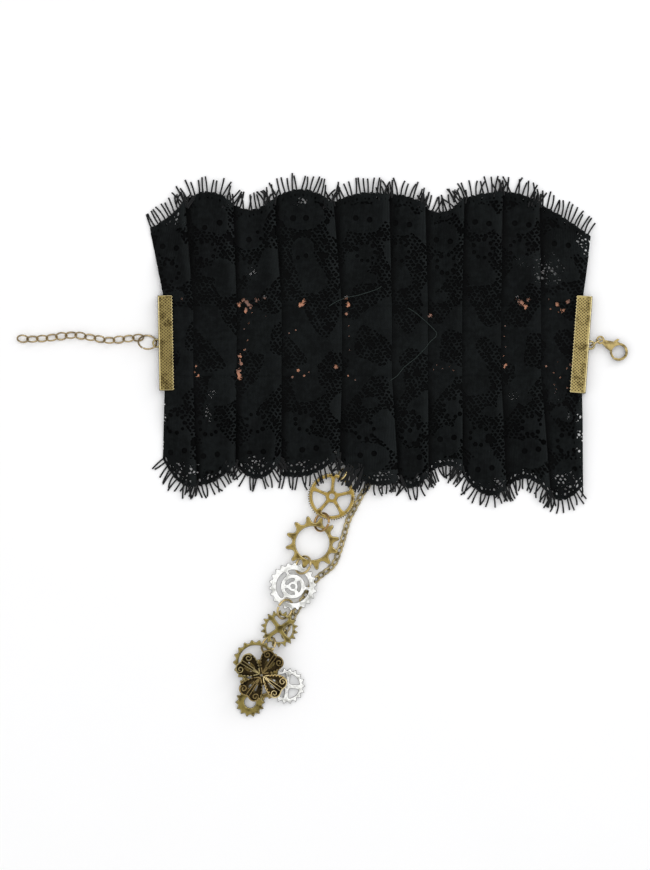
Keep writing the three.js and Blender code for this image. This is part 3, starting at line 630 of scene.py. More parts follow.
def laceHeight(x, y, out, share):
    puff = lace["puff"] * np.sin(math.pi * np.minimum(1, out * 1.5))
    fall = mixed(lace["overStrip"], lace["edgeHeight"], smoothStep(out, 0.15, 1)) + puff
    away = np.minimum(np.abs(x - lace["clampAt"][0]), np.abs(x - lace["clampAt"][1]))
    hold = (1 - smoothStep(away, *lace["clampFade"])) * (1 - smoothStep(np.abs(y), *lace["clampSpan"]))
    return mixed(fall + riseAt(out, share) + raisedAt(x, y), lace["clampHeight"], hold)


def crumple(x, y, out, pleat):
    # the soft unevenness of the gathered cloth, and the sewn seams' grooves
    wave = 0.22 * np.sin(x * 0.83 + pleat * 1.7 + y * 0.09) + 0.13 * np.sin(x * 1.9 - y * 0.21 + pleat * 2.9)
    ripple = 0.10 * np.sin(y * 0.9 + x * 0.35 + pleat) * out
    grooves = ((lace["seams"], lace["seamGroove"]), (lace["stitchLines"], lace["stitchGroove"]))
    groove = sum(depth * np.exp(-((y - line) / lace["grooveWide"]) ** 2) for lines, depth in grooves
                 for line in lines)
    return wave * (0.16 + 0.84 * smoothStep(out, 0.02, 0.5)) + ripple - groove


openPlaces = {
    # where the layers underneath are open too, so the white ground shows: x, y, half width, half height
    "ground": [(-41.0, 23.7, 2.0, 1.8), (-66.5, 41.2, 4.0, 2.0), (-25.0, 47.4, 4.5, 1.3),
               (-73.2, 25.0, 1.0, 7.0), (57.0, 25.0, 7.0, 6.0), (49.0, 27.0, 3.0, 2.2),
               (70.0, 34.0, 3.0, 5.0), (-70.9, -23.0, 1.3, 7.5), (-54.0, -17.3, 1.6, 2.2),
               (-55.3, -22.5, 1.3, 4.5), (-40.7, -17.3, 1.1, 1.1), (45.5, -17.5, 3.0, 1.6),
               (60.3, -17.5, 2.4, 2.0), (63.7, -24.3, 1.6, 1.4), (68.6, -29.0, 1.9, 11.0),
               (-64.0, -42.0, 6.5, 3.4), (-40.0, -40.0, 6.0, 3.0), (-24.5, -40.0, 7.0, 1.6),
               (4.0, -43.4, 6.0, 1.2), (24.0, -40.0, 6.0, 1.5), (41.0, -46.2, 7.0, 1.5),
               (63.0, -46.0, 7.0, 4.0)],
    # round holes of the motifs, with the hidden layers under them, black cloth painted in shade: x, y, radius
    "motif": [(-56.7, 38.7, 0.9), (-51.7, 40.3, 1.0), (-31.3, 40.2, 0.9), (-27.3, 41.9, 1.0),
              (-23.0, 41.9, 1.0), (-16.0, 40.7, 0.9), (-25.0, 36.7, 0.75), (-22.0, 36.7, 0.75),
              (-16.7, 34.0, 0.8), (-15.7, 32.0, 0.75), (-18.3, 29.7, 0.8), (-16.0, 29.7, 0.7),
              (-23.0, 29.3, 0.8), (-25.7, 28.7, 0.7), (-42.0, 34.7, 0.95), (-39.1, 37.2, 0.6),
              (-38.0, 35.0, 0.65), (-36.0, 33.3, 0.7), (-34.3, 36.3, 0.55), (9.7, -23.0, 0.7),
              (12.6, -22.6, 0.8), (14.6, -24.4, 0.7), (14.4, -27.2, 0.75), (11.6, -28.8, 0.8),
              (9.2, -26.6, 0.65), (14.0, -33.3, 1.0), (37.7, -31.0, 1.1), (56.0, -32.7, 0.9)],
    # specks of the copper strip: x, y, radius
    "copper": [(-64.3, 15.0, 0.42), (-43.7, 14.8, 0.5), (-42.6, 13.6, 0.42), (-45.2, 13.2, 0.35),
               (-41.5, 12.0, 0.5), (-42.8, 11.0, 0.42), (-40.9, 10.4, 0.35), (-25.0, 12.7, 0.6),
               (-23.6, 14.2, 0.3), (-9.7, 15.6, 0.42), (-9.0, 13.0, 0.36), (-9.6, 10.2, 0.36),
               (-59.6, -7.4, 0.42), (-60.0, -9.4, 0.36), (-58.8, -10.4, 0.42), (-45.0, -4.0, 0.36),
               (-44.8, -6.6, 0.42), (-45.4, -9.0, 0.42), (-45.0, -11.2, 0.36), (-25.6, -8.8, 0.62),
               (-23.6, -10.6, 0.45), (-22.0, -9.4, 0.36), (-27.4, -11.0, 0.4), (-9.0, -10.6, 0.36),
               (-6.6, -12.0, 0.36), (18.3, 9.4, 0.3), (47.0, 15.6, 0.36), (48.4, 13.8, 0.42),
               (50.0, 12.4, 0.42), (51.0, 14.8, 0.36), (57.8, 14.8, 0.36), (60.4, 13.0, 0.42),
               (62.4, 11.2, 0.36), (64.0, 14.2, 0.42), (57.0, -7.4, 0.42), (59.4, -9.6, 0.36),
               (61.6, -11.2, 0.42), (64.0, -14.6, 0.42), (60.8, -6.0, 0.3), (-8.8, 6.0, 0.3),
               (-8.6, 2.6, 0.3), (43.3, 6.0, 0.34), (43.0, 2.5, 0.3), (43.5, -1.0, 0.3), (42.8, -4.0, 0.34),
               (43.2, -7.2, 0.38), (20.5, -7.0, 0.3), (22.4, -8.2, 0.32), (24.6, -7.6, 0.3),
               (26.0, -8.8, 0.34), (19.4, -8.6, 0.3), (-42.0, 7.0, 0.3), (-43.6, 5.0, 0.3),
               (-42.4, 1.2, 0.34), (-43.2, -1.8, 0.3), (-36.4, 9.2, 0.3), (-28.6, 3.6, 0.34),
               (-26.4, 4.6, 0.4), (-8.4, -2.0, 0.32), (-13.0, -7.6, 0.32), (59.6, -13.6, 0.4),
               (60.2, -15.0, 0.36), (63.8, -8.2, 0.4), (64.8, -7.0, 0.36), (58.4, 11.6, 0.38),
               (61.0, 10.6, 0.34), (-36.8, 15.6, 0.3), (-39.4, 14.6, 0.34)],
}


def motifsOf(side, pleat):
    # the round holes and the solid petals of one panel; some panels' holes are in openPlaces instead
    edgeKey, reachKey = edgeKeys[side]
    own = np.random.default_rng(5 if side > 0 else 8)
    found = []
    for k in range(pleatCount):
        holes = []
        middle = (lace[edgeKey][k] + lace[edgeKey][k + 1]) / 2
        middle += own.uniform(-1, 1) * motifs["middlePlay"]
        wide = lace[edgeKey][k + 1] - lace[edgeKey][k]
        edge = lace[reachKey][k][1]
        pairY = edge - own.uniform(*motifs["pairIn"])
        if side < 0 or k not in motifs["pairsInList"]:
            for step in (-1, 1) if wide > motifs["pairNeeds"] else (1,):
                holes.append((middle + step * motifs["pairApart"], side * (pairY - 0.3 * step),
                              motifs["pairRadius"]))
        x = middle + own.uniform(-1, 1) * motifs["flowerPlay"]
        y = side * (edge - own.uniform(*motifs["flowerIn"]))
        if side < 0 or k != motifs["flowerInList"]:
            for j in range(motifs["flowerHoles"]):
                angle = j * math.pi * 2 / motifs["flowerHoles"]
                angle += own.uniform(-1, 1) * motifs["anglePlay"]
                holes.append((x + motifs["flowerRadius"] * math.cos(angle),
                              y + motifs["flowerRadius"] * math.sin(angle),
                              own.uniform(*motifs["holeRadius"])))
        leafX = middle + own.uniform(-1, 1) * motifs["leafPlay"]
        leafY = side * (edge - own.uniform(*motifs["leafIn"]))
        edgePetal = (middle, side * (edge - motifs["edgeIn"]), wide * motifs["edgeWide"], motifs["edgeTall"])
        petals = [(x, y, motifs["heart"], motifs["heart"]), edgePetal, (leafX, leafY, *motifs["leafHalf"])]
        found.append((holes, petals))
    return found[pleat]


def netField(x, y, scale=1.0):
    # an uneven net of tall six-sided cells in two staggered rows
    x = x + 0.34 * np.sin(y * 0.62 + x * 0.17) + 0.13 * np.sin(x * 2.9 + y * 1.7)
    y = y + 0.34 * np.sin(x * 0.55 - y * 0.11) + 0.15 * np.sin(x * 2.1 - y * 2.3)
    wide, tall = lace["meshWide"], lace["meshTall"]
    uneven = 1 + 0.3 * np.sin(x * 1.3 + y * 0.7) + 0.25 * np.sin(x * 0.41 - y * 1.1)
    thread = lace["netThread"] * uneven / scale
    away, within = [], []
    for shift in (0, 0.5):
        across = ((x / wide + shift) % 1 - 0.5) * wide
        along = ((y / tall + shift) % 1 - 0.5) * tall
        away.append(np.hypot(across, along))
        within.append(wide / 2 - np.abs(across))
    # how far a point lies inside its own cell: from the slanted sides, then from the upright ones
    slanted = np.abs(away[0] ** 2 - away[1] ** 2) / math.hypot(wide, tall)
    return thread / 2 - np.minimum(slanted, np.where(away[0] < away[1], *within))


def pierced(value, x, y, holes):
    for px, py, radius in holes:
        value = np.minimum(value, np.hypot(x - px, y - py) - radius)
    return value


def copperHoles(margin=0.0):
    return [(x, y, radius * lace["speck"] + margin) for x, y, radius in openPlaces["copper"]]


def threadField(x, y, pleat, side, edgeGap):
    # above 0 where there is thread; also how solid the cloth is there, from net to satin stitch
    holes, petals = motifsOf(side, pleat) if side else ([], [])
    slide = x + lace["foldHidden"] * pleat
    leaf = np.sin(slide * 0.36 + 1.3 * np.sin(y * 0.19)) + np.sin(y * 0.33 + 1.7 * np.sin(slide * 0.17 + 2.0))
    solid = np.clip(leaf * 1.1 + (0.1 if side else 0.64), 0, 1)
    for px, py, halfX, halfY in petals:
        inside = 1 - np.hypot((x - px) / halfX, (y - py) / halfY)
        solid = np.maximum(solid, np.clip(inside * 4, 0, 1))
    value = np.where(solid > 0.5, lace["solidThread"], netField(slide, y))
    value = pierced(value, x, y, holes + openPlaces["motif"])
    # where the ground shows, the net closes up cell by cell towards the patch's edge
    uneven = 0.76 + 0.2 * np.sin(x * 1.9 + 2.1 * np.sin(y * 1.1)) + 0.16 * np.sin(y * 2.7 - x * 0.8)
    for px, py, halfX, halfY in openPlaces["ground"]:
        away = np.hypot((x - px) / (halfX + 0.4), (y - py) / (halfY + 0.4))
        closing = uneven * np.maximum(0.2, 1.05 - 0.7 * away ** 2)
        patch = np.maximum(netField(slide, y, closing),
                           netField(slide + 0.4 * y + 1.3, y - 0.35 * x, closing))
        value = np.where(away < 1, patch, value)
        solid = np.where(away < 1, np.minimum(solid, 0.4), solid)
    if edgeGap is not None:
        # the scalloped border is solid but for its row of small openings
        rim = lace["border"]
        along = slide / rim["pitch"]
        uneven = 0.72 + 0.28 * np.sin(np.floor(along) * 2.4)
        eyelet = (np.hypot((along % 1 - 0.5) * rim["pitch"] / rim["halfWide"],
                           (edgeGap - rim["at"]) / rim["halfTall"]) - uneven) * rim["halfWide"]
        border = edgeGap < rim["inner"]
        value = np.where(border, np.minimum(lace["solidThread"], eyelet), value)
        solid = np.where(border, 0.75, solid)
    return pierced(value, x, y, copperHoles()), solid


def openBelow(x, y):
    # above 0 where the hidden layers have cloth
    value = np.full(x.shape, 1.0)
    for px, py, halfX, halfY in openPlaces["ground"]:
        value = np.minimum(value, (np.hypot((x - px) / halfX, (y - py) / halfY) - 1) * min(halfX, halfY))
    return pierced(value, x, y, copperHoles(lace["speckMargin"]))


def cutCloth(grid, value, solid, flat):
    # the part of a grid of points where value is above 0, with the holes' outlines cut smooth
    rows, columns = value.shape
    data = np.concatenate([grid, flat], axis=2)
    index = np.arange(rows * columns).reshape(rows, columns)
    points = [data.reshape(-1, data.shape[2])]
    inside = value > 0

    def crossings(first, second, start):
        va, vb = value[first], value[second]
        share = np.clip(va / np.where(va == vb, 1, va - vb), 0.02, 0.98)[..., None]
        points.append((data[first] * (1 - share) + data[second] * share).reshape(-1, data.shape[2]))
        return np.arange(va.size).reshape(va.shape) + start

    everything = slice(None)
    flatWay = crossings((everything, slice(None, -1)), (everything, slice(1, None)), rows * columns)
    upWay = crossings((slice(None, -1), everything), (slice(1, None), everything),
                      rows * columns + flatWay.size)
    a, b, c, d = ((slice(None, -1), slice(None, -1)), (slice(None, -1), slice(1, None)),
                  (slice(1, None), slice(1, None)), (slice(1, None), slice(None, -1)))
    corners = [index[k] for k in (a, b, c, d)]
    sides = [flatWay[:-1], upWay[:, 1:], flatWay[1:], upWay[:, :-1]]
    inner = [inside[k] for k in (a, b, c, d)]
    case = sum(inner[k].astype(int) << k for k in range(4))
    density = (solid[a] + solid[b] + solid[c] + solid[d]) / 4
    faces, dense = [], []
    for kind in range(1, 16):
        chosen = case == kind
        if not chosen.any():
            continue
        ring = []
        for k in range(4):
            here, there = kind >> k & 1, kind >> (k + 1) % 4 & 1
            if here:
                ring.append(corners[k][chosen])
            if here != there:
                ring.append(sides[k][chosen])
        faces += np.stack(ring, axis=1).tolist()
        dense += density[chosen].tolist()
    return np.concatenate(points), faces, dense


def withoutIslands(faces, dense, count):
    # only the faces that hang together in large enough groups, as loose bits would float
    corners = np.array([face + [face[-1]] * (6 - len(face)) for face in faces])
    label, before = np.arange(count), None
    while before is None or (label != before).any():
        before = label
        label = label.copy()
        np.minimum.at(label, corners.ravel(), np.repeat(before[corners].min(axis=1), corners.shape[1]))
        label = label[label]
    group = label[corners[:, 0]]
    kept = np.flatnonzero(np.bincount(group)[group] >= lace["leastIsland"])
    return [faces[k] for k in kept], [dense[k] for k in kept]


def tidyCloth(parts):
    # several cut grids as one set of points without the unused ones
    allPoints, allFaces, allDense, start = [], [], [], 0
    for points, faces, dense in parts:
        faces, dense = withoutIslands(faces, dense, len(points))
        used = np.unique(np.concatenate([np.asarray(f) for f in faces]))
        number = np.full(len(points), -1)
        number[used] = np.arange(len(used)) + start
        allPoints.append(points[used])
        allFaces += [[int(number[k]) for k in face] for face in faces]
        allDense += dense
        start += len(used)
    return np.concatenate(allPoints), allFaces, allDense


def panelGrid(pleat, side, pitch):
    # points of one visible panel with its rounded fold: rows go out from the middle, columns to the right
    wide = lace["foldSeam"][pleat + 1] - lace["foldSeam"][pleat]
    share = np.linspace(0, 1, int(wide / pitch) + 2)
    arc = np.zeros(len(share))
    if pleat < pleatCount - 1:
        turns = np.radians(lace["foldTurns"])
        share = np.append(share, np.ones(len(turns)))
        arc = np.append(arc, turns)
    if side:
        out = np.linspace(0, 1, int((lace["topReach"][pleat][1] - lace["rowsFrom"]) / pitch) + 2)
    else:
        out = np.linspace(lace["seams"][1], lace["seams"][0], int(bandTall / pitch) + 2)
    share, out = np.meshgrid(share, out)
    arc = np.broadcast_to(arc, share.shape)
    station = pleat + share
    seamX = foldAt("foldSeam", station)
    if side:
        edgeKey, reachKey = edgeKeys[side]
        edgeX, seamY = foldAt(edgeKey, station), lace["seams"][0 if side > 0 else 1]
        deep, apart, ragged = lace["scallop"]
        scallop = deep * np.abs(np.sin(edgeX * math.pi / apart + 0.4 * np.sin(edgeX))) + \
            ragged * np.sin(edgeX * 4.1)
        edgeY = side * (reachOf(reachKey, pleat, share) - lace["scallopIn"] + scallop)
        x, y = mixed(seamX, edgeX, out), mixed(seamY, edgeY, out)
        gap = np.abs(edgeY - y)
    else:
        x, y, gap = seamX, out, None
        out = np.zeros_like(y)
    top = laceHeight(x, y, out, share) + crumple(x, y, out, pleat) + lace["above"]
    drop = riseAt(out) * lace["foldDrop"]
    x = x + lace["foldRadius"] * np.sin(arc) * (0.7 + 0.6 * out)
    z = top - drop * (1 - np.cos(arc)) / 2
    # painted shade in the cloth's hollow right of the last fold, and a painted highlight on the part before
    # the next one
    fromFold = share * (wide if pleat else 99)
    paintedFoldShading = np.exp(-(fromFold / lace["paintedFoldShading"]) ** 2) - smoothStep(share, *lace["paintedLightPart"]) * 0.6
    paintedFoldShading = paintedFoldShading * mixed(0.6, 1.0, np.minimum(1, out * 3))
    return np.stack([x, y, z], axis=2), gap, flatMap(seamX + lace["foldHidden"] * pleat, y, paintedFoldShading)


def flatMap(x, y, paintedFoldShading):
    # where the cloth's points lie on its flat map, in metres, and their painted fold shading: shade above 0,
    # highlight below 0
    return np.stack([(x + lace["flatStart"][0]) * mm, (y + lace["flatStart"][1]) * mm, paintedFoldShading], axis=2)


def panelBelow(pleat, layer, pitch):
    # a hidden layer under one panel, over its whole height: 0 is the cloth's way back, 1 the next start
    wide = lace["foldSeam"][pleat + 1] - lace["foldSeam"][pleat]
    share = np.linspace(-0.05 if pleat else 0.02, 1, int(wide / pitch) + 2)
    way = np.linspace(-1, 1, int(lace["tall"] / pitch))
    share, way = np.meshgrid(share, way)
    station, share = pleat + share, np.maximum(share, 0)
    middle = bandTall / lace["tall"]
    out = np.clip((np.abs(way) - middle) / (1 - middle), 0, 1)
    upper = way > 0
    seamY = np.where(upper, *lace["seams"])
    edgeX = np.where(upper, foldAt("foldTop", station), foldAt("foldLow", station))
    reach = np.where(upper, reachOf("topReach", pleat, share), reachOf("lowReach", pleat, share))
    reach = reach - np.where(upper, *lace["underShort"]) - \
        np.where(upper, *lace["underRagged"]) * (0.5 + 0.5 * np.sin(edgeX * 0.9 + 2.4 * layer))
    y = np.where(np.abs(way) <= middle, mixed(bandMiddle, seamY, np.abs(way) / middle),
                 mixed(seamY, np.where(upper, 1, -1) * reach, out))
    x = mixed(foldAt("foldSeam", station), edgeX, out)
    cover = laceHeight(x, y, out, share) + lace["above"] + crumple(x, y, out, pleat)
    z = np.maximum(cover - lace["underDrop"] * (1 + layer) - riseAt(out, share) * lace["underRise"][layer],
                   lace["underLowest"][layer])
    # the hidden layers are painted fully in shade
    return np.stack([x, y, z], axis=2), flatMap(x, y, np.ones_like(x))


def makeCloth(name, parts):
    points, faces, dense = tidyCloth(parts)
    print(name, len(faces), "faces")
    # the points' painted fold shading goes to the finish as a point value
    return makeMesh(name, points[:, :3], faces, laceThread, points[:, 3:5], "pleated_lace",
                    [("dense", "FACE", dense), ("paintedFoldShading", "POINT", points[:, 5])])


def makeLace():
    for name, side, pitch, flatTall in (("laceUpperRuffle", 1, lace["pitch"], 0.0365),
                                        ("laceBand", 0, lace["bandPitch"], 0.0235),
                                        ("laceLowerRuffle", -1, lace["pitch"], 0.0360)):
        parts = []
        for pleat in range(pleatCount):
            grid, gap, flat = panelGrid(pleat, side, pitch)
            value, solid = threadField(grid[..., 0], grid[..., 1], pleat, side, gap)
            if side < 0:
                grid, value, solid, flat = (array[::-1] for array in (grid, value, solid, flat))
            parts.append(cutCloth(grid, value, solid, flat))
        piece = makeCloth(name, parts)
    parts = []
    for pleat in range(pleatCount):
        for layer in (0, 1):
            grid, flat = panelBelow(pleat, layer, lace["underPitch"])
            value = openBelow(grid[..., 0], grid[..., 1])
            parts.append(cutCloth(grid, value, np.full(value.shape, 0.5), flat))
    under = makeCloth("laceUnderfolds", parts)
    print("lace made")


makeLace()


# gears: radii in millimetres, tooth shares of the pitch, turns in degrees
gears = {
    "gear_spoked": {"at": (-14.4, -50.8), "teeth": 60, "tip": 7.95, "root": 7.5, "crest": 0.3, "foot": 0.8,
                    "turn": 0, "bore": 0.95, "windows": [(5, 2.1, 6.4, 1.15, 49)], "finish": ochre,
                    "hub": 1.9, "round": 0.45},
    "gear_ring": {"at": (-20.85, -66.3), "teeth": 12, "tip": 9.05, "root": 6.85, "crest": 0.24, "foot": 0.56,
                  "turn": 10, "bore": 5.6, "windows": [], "finish": bronze, "round": 0.3},
    "gear_silver": {"at": (-27.35, -80.7), "teeth": 22, "tip": 8.0, "root": 7.2, "crest": 0.3, "foot": 0.7,
                    "turn": 4, "bore": 0.7, "finish": silver, "round": 0.25,
                    "windows": [(3, 4.15, 5.5, 1.0, 52), (3, 1.75, 2.75, 1.3, 120)]},
    "gear_small": {"at": (-31.85, -94.8), "teeth": 18, "tip": 6.25, "root": 5.1, "crest": 0.1, "foot": 0.8,
                   "turn": 8, "bore": 0, "windows": [(4, 1.4, 4.4, 1.4, 80)], "finish": olive, "round": 0.5},
    "cluster_gear_ring": {"at": (-39.75, -106.0), "teeth": 18, "tip": 7.55, "root": 6.7, "crest": 0.2,
                          "foot": 0.7, "turn": 0, "bore": 5.7, "windows": [], "finish": olive, "round": 0.25},
    "cluster_gear_square": {"at": (-38.1, -112.0), "teeth": 16, "tip": 6.95, "root": 6.1, "crest": 0.45,
                            "foot": 0.5, "turn": 6, "bore": 4.6, "windows": [], "finish": bronze,
                            "round": 0.15},
    "cluster_gear_bronze": {"at": (-41.6, -119.3), "teeth": 14, "tip": 4.95, "root": 4.1, "crest": 0.1,
                            "foot": 0.8, "turn": 0, "bore": 1.9, "windows": [], "finish": olive,
                            "round": 0.2},
    "cluster_gear_silver": {"at": (-29.3, -113.9), "teeth": 18, "tip": 6.05, "root": 5.1, "crest": 0.1,
                            "foot": 0.8, "turn": 0, "bore": 0, "windows": [(4, 1.3, 4.2, 1.4, 39)],
                            "finish": silver, "round": 0.5},
}
gearForm = {"thick": 0.6, "bevel": 0.28, "hubRise": 0.12, "hubBevel": 0.05,
            "roundedTwice": 14}  # up to so many teeth they are rounded twice


def toothedOutline(gear):
    corners = [(gear["root"], -gear["foot"] / 2), (gear["tip"], -gear["crest"] / 2),
               (gear["tip"], gear["crest"] / 2), (gear["root"], gear["foot"] / 2)]
    points = []
    for k in range(gear["teeth"]):
        for radius, share in corners:
            angle = math.radians(gear["turn"]) + (k + share) * 2 * math.pi / gear["teeth"]
            points.append((radius * math.cos(angle), radius * math.sin(angle)))
    return softened(points, 1 if gear["teeth"] > gearForm["roundedTwice"] else 2)


def softened(points, times):
    # corner cutting, which rounds an outline a little
    for _ in range(times):
        cut = []
        for k, here in enumerate(points):
            there = points[(k + 1) % len(points)]
            cut.append(tuple(mixed(here[j], there[j], 0.25) for j in (0, 1)))
            cut.append(tuple(mixed(here[j], there[j], 0.75) for j in (0, 1)))
        points = cut
    return points


def windowOutlines(count, inner, outer, spoke, turn, soft):
    loops = []
    for k in range(count):
        middle = math.radians(turn) + k * 2 * math.pi / count
        points = []
        for radius, way in ((inner, 1), (outer, -1)):
            half = math.pi / count - math.asin(spoke / 2 / radius)
            steps = max(3, int(half * radius / 0.5))
            for step in range(steps + 1):
                angle = middle + way * half * (2 * step / steps - 1)
                points.append((radius * math.cos(angle), radius * math.sin(angle)))
        loops.append(softened(points, 2 if soft > 0.3 else 1))
    return loops


def makeGears():
    for node, gear in gears.items():
        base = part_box(node)[0][2] / mm
        loops = [toothedOutline(gear)]
        if gear["bore"]:
            loops.append(circle(gear["bore"], 72 if gear["bore"] > 3 else 28))
        for window in gear["windows"]:
            loops += windowOutlines(*window, gear["round"])
        parts = [blank(node + "Plate", loops, gearForm["thick"], gearForm["bevel"], gear["finish"], 2)]
        if "hub" in gear:
            hub = blank(node + "Hub", [circle(gear["hub"], 40), circle(gear["bore"] + 0.02, 28)],
                        gearForm["hubRise"], gearForm["hubBevel"], gear["finish"])
            parts.append(shifted(hub, 0, 0, gearForm["thick"] - gearForm["hubBevel"]))
        mesh = shifted(joined(parts, node), *gear["at"], base)
        addPiece(pieceName("cut", node), mesh, node)
    print("gears made")


# jump rings: two places that the wire passes through, its radius and its lean out of the level, in degrees
jumpRings = {
    "gear_ring_upper": {"join": (("gear_spoked", 6.7), ("gear_ring", 5.25)), "lean": 43,
                        "finish": copperBrown},
    "gear_ring_middle": {"join": (("gear_ring", 5.5), ("gear_silver", 5.5)), "lean": 43, "finish": paleGold},
    "gear_ring_lower": {"join": (("gear_silver", 5.3), ("gear_small", 4.2)), "lean": -45, "finish": paleGold},
    "cluster_ring": {"join": (("gear_small", 4.35), ("cluster_gear_ring", 5.0)), "lean": 46,
                     "finish": paleGold},
    "extender_ring": {"ends": ((-78.3, 1.9, 1.4), (-72.8, 0.1, 2.2)), "radius": 3.0, "lean": -40,
                      "wire": 0.31, "finish": chainBronze},
    "clasp_ring": {"ends": ((71.9, -0.45, 1.9), (75.1, 1.36, 1.6)), "radius": 2.05, "lean": 90,
                   "wire": 0.31, "finish": paleGold},
    "gear_ring_top": {"ends": ((-10.5, -41.65, 1.0), (-12.0, -45.05, 2.1)), "radius": 2.02, "lean": 58,
                      "wire": 0.33, "finish": paleGold},
}
# the source's wire, its play in an opening, the radius shown here, and the angle of the cut
ringForm = {"wire": 0.6, "play": 0.3, "shown": 0.39, "split": 100}


def passPoints(join):
    (first, firstOpening), (second, secondOpening) = join
    centres = [Vector((*gears[node]["at"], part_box(node)[0][2] / mm + gearForm["thick"] / 2))
               for node in (first, second)]
    line = (centres[1] - centres[0]).xy.normalized()
    reach = ringForm["wire"] / 2 + ringForm["play"]
    ends = []
    for centre, opening, way in ((centres[0], firstOpening, 1), (centres[1], secondOpening, -1)):
        step = way * (opening - reach)
        ends.append(Vector((centre.x + line.x * step, centre.y + line.y * step, centre.z)))
    return ends


def makeRings():
    for node, ring in jumpRings.items():
        low, high = (np.array(corner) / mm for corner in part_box(node))
        centre = Vector((low + high) / 2)
        if "join" in ring:
            ends = passPoints(ring["join"])
            radius = (ends[1] - ends[0]).length / 2 + 0.01
        else:
            ends, radius = [Vector(end) for end in ring["ends"]], ring["radius"]
        along = (ends[1] - ends[0]).normalized()
        side = Vector((0, 0, 1)).cross(along).normalized()
        level = along.cross(side)
        tilt = math.radians(abs(ring["lean"]))
        up = side * math.copysign(math.cos(tilt), ring["lean"]) + level * math.sin(tilt)
        wire = ring.get("wire", ringForm["shown"])
        centre.z += wire - ringForm["wire"] / 2
        mesh = wireRing(radius, wire, node, ring["finish"], ringForm["split"])
        mesh.transform(basis(along, up, centre))
        addPiece(pieceName("wire", node), mesh, node)
    print("jump rings made")


makeGears()
makeRings()


# the eyelash fringe on both scalloped edges
lashes = {"spacing": 1.36, "length": 5.0, "thread": 0.29, "bend": 0.35, "curl": 1.2, "inset": 0.5,
          "sideScale": {1: (0.95, 1.28), -1: (0.78, 1.05)}, "fan": 0.3, "foldLocks": 7, "lowest": 0.02,
          "spacingPlay": 0.25, "angleSpread": 0.16, "curledShare": 0.3,
          # the thick tuft that hangs over the first gear's right side
          "tuft": {"at": (-5.6, -41.0), "spread": (3.6, 1.2), "height": 3.7, "angles": (-128, -84),
                   "count": 22, "scales": (1.15, 1.6)},
          # round places on the first gear and its ring that hold tips up: x, y, radius
          "perches": ((-14.4, -50.8, 9.5), (-11.2, -43.3, 4.5)), "perchHeight": 3.15}

# loose ends of sewing thread that lie over the band: x and y in millimetres
looseEnds = {"radius": 0.105, "above": 0.32, "step": 0.9, "ruffleTall": 36,
             "routes": [[(-15.4, 12.5), (-13.0, 14.0), (-9.6, 15.4), (-6.0, 16.0), (-2.0, 17.2), (1.0, 18.2),
                         (2.2, 19.2)],
                        [(11.0, 11.9), (13.4, 10.4), (16.7, 7.6), (19.4, 5.0), (20.5, 3.6), (20.3, 2.4),
                         (18.4, 0.8), (16.6, -1.6), (13.3, -4.9), (9.6, -7.8), (7.4, -10.6), (5.0, -12.3)]]}


def threadRoute(stops):
    placeX, placeY = np.array(stops).T
    run = runOf(placeX, placeY)
    x, y = (np.interp(np.arange(0, run[-1], looseEnds["step"]), run, values) for values in (placeX, placeY))
    out = np.clip((np.abs(y - bandMiddle) - bandTall / 2) / looseEnds["ruffleTall"], 0, 1)
    return list(zip(x, y, laceHeight(x, y, out, 0.97) + lace["above"] + looseEnds["above"]))


def edgePoints(pleat, side, share):
    edgeKey, reachKey = edgeKeys[side]
    x = foldAt(edgeKey, pleat + share)
    y = side * (reachOf(reachKey, pleat, share) - lashes["inset"])
    z = laceHeight(x, y, np.ones_like(x), share) + lace["above"]
    return x, y, z


def restHeight(x, y, start):
    # how high the tip of a lash lies: near the ground, or on the first gear
    perched = any(math.hypot(x - px, y - py) < radius for px, py, radius in lashes["perches"])
    return max(lashes["perchHeight"] if perched else 0.2, 0.2 + 0.3 * (start - 0.8) + 0.2 * raisedAt(x, y))


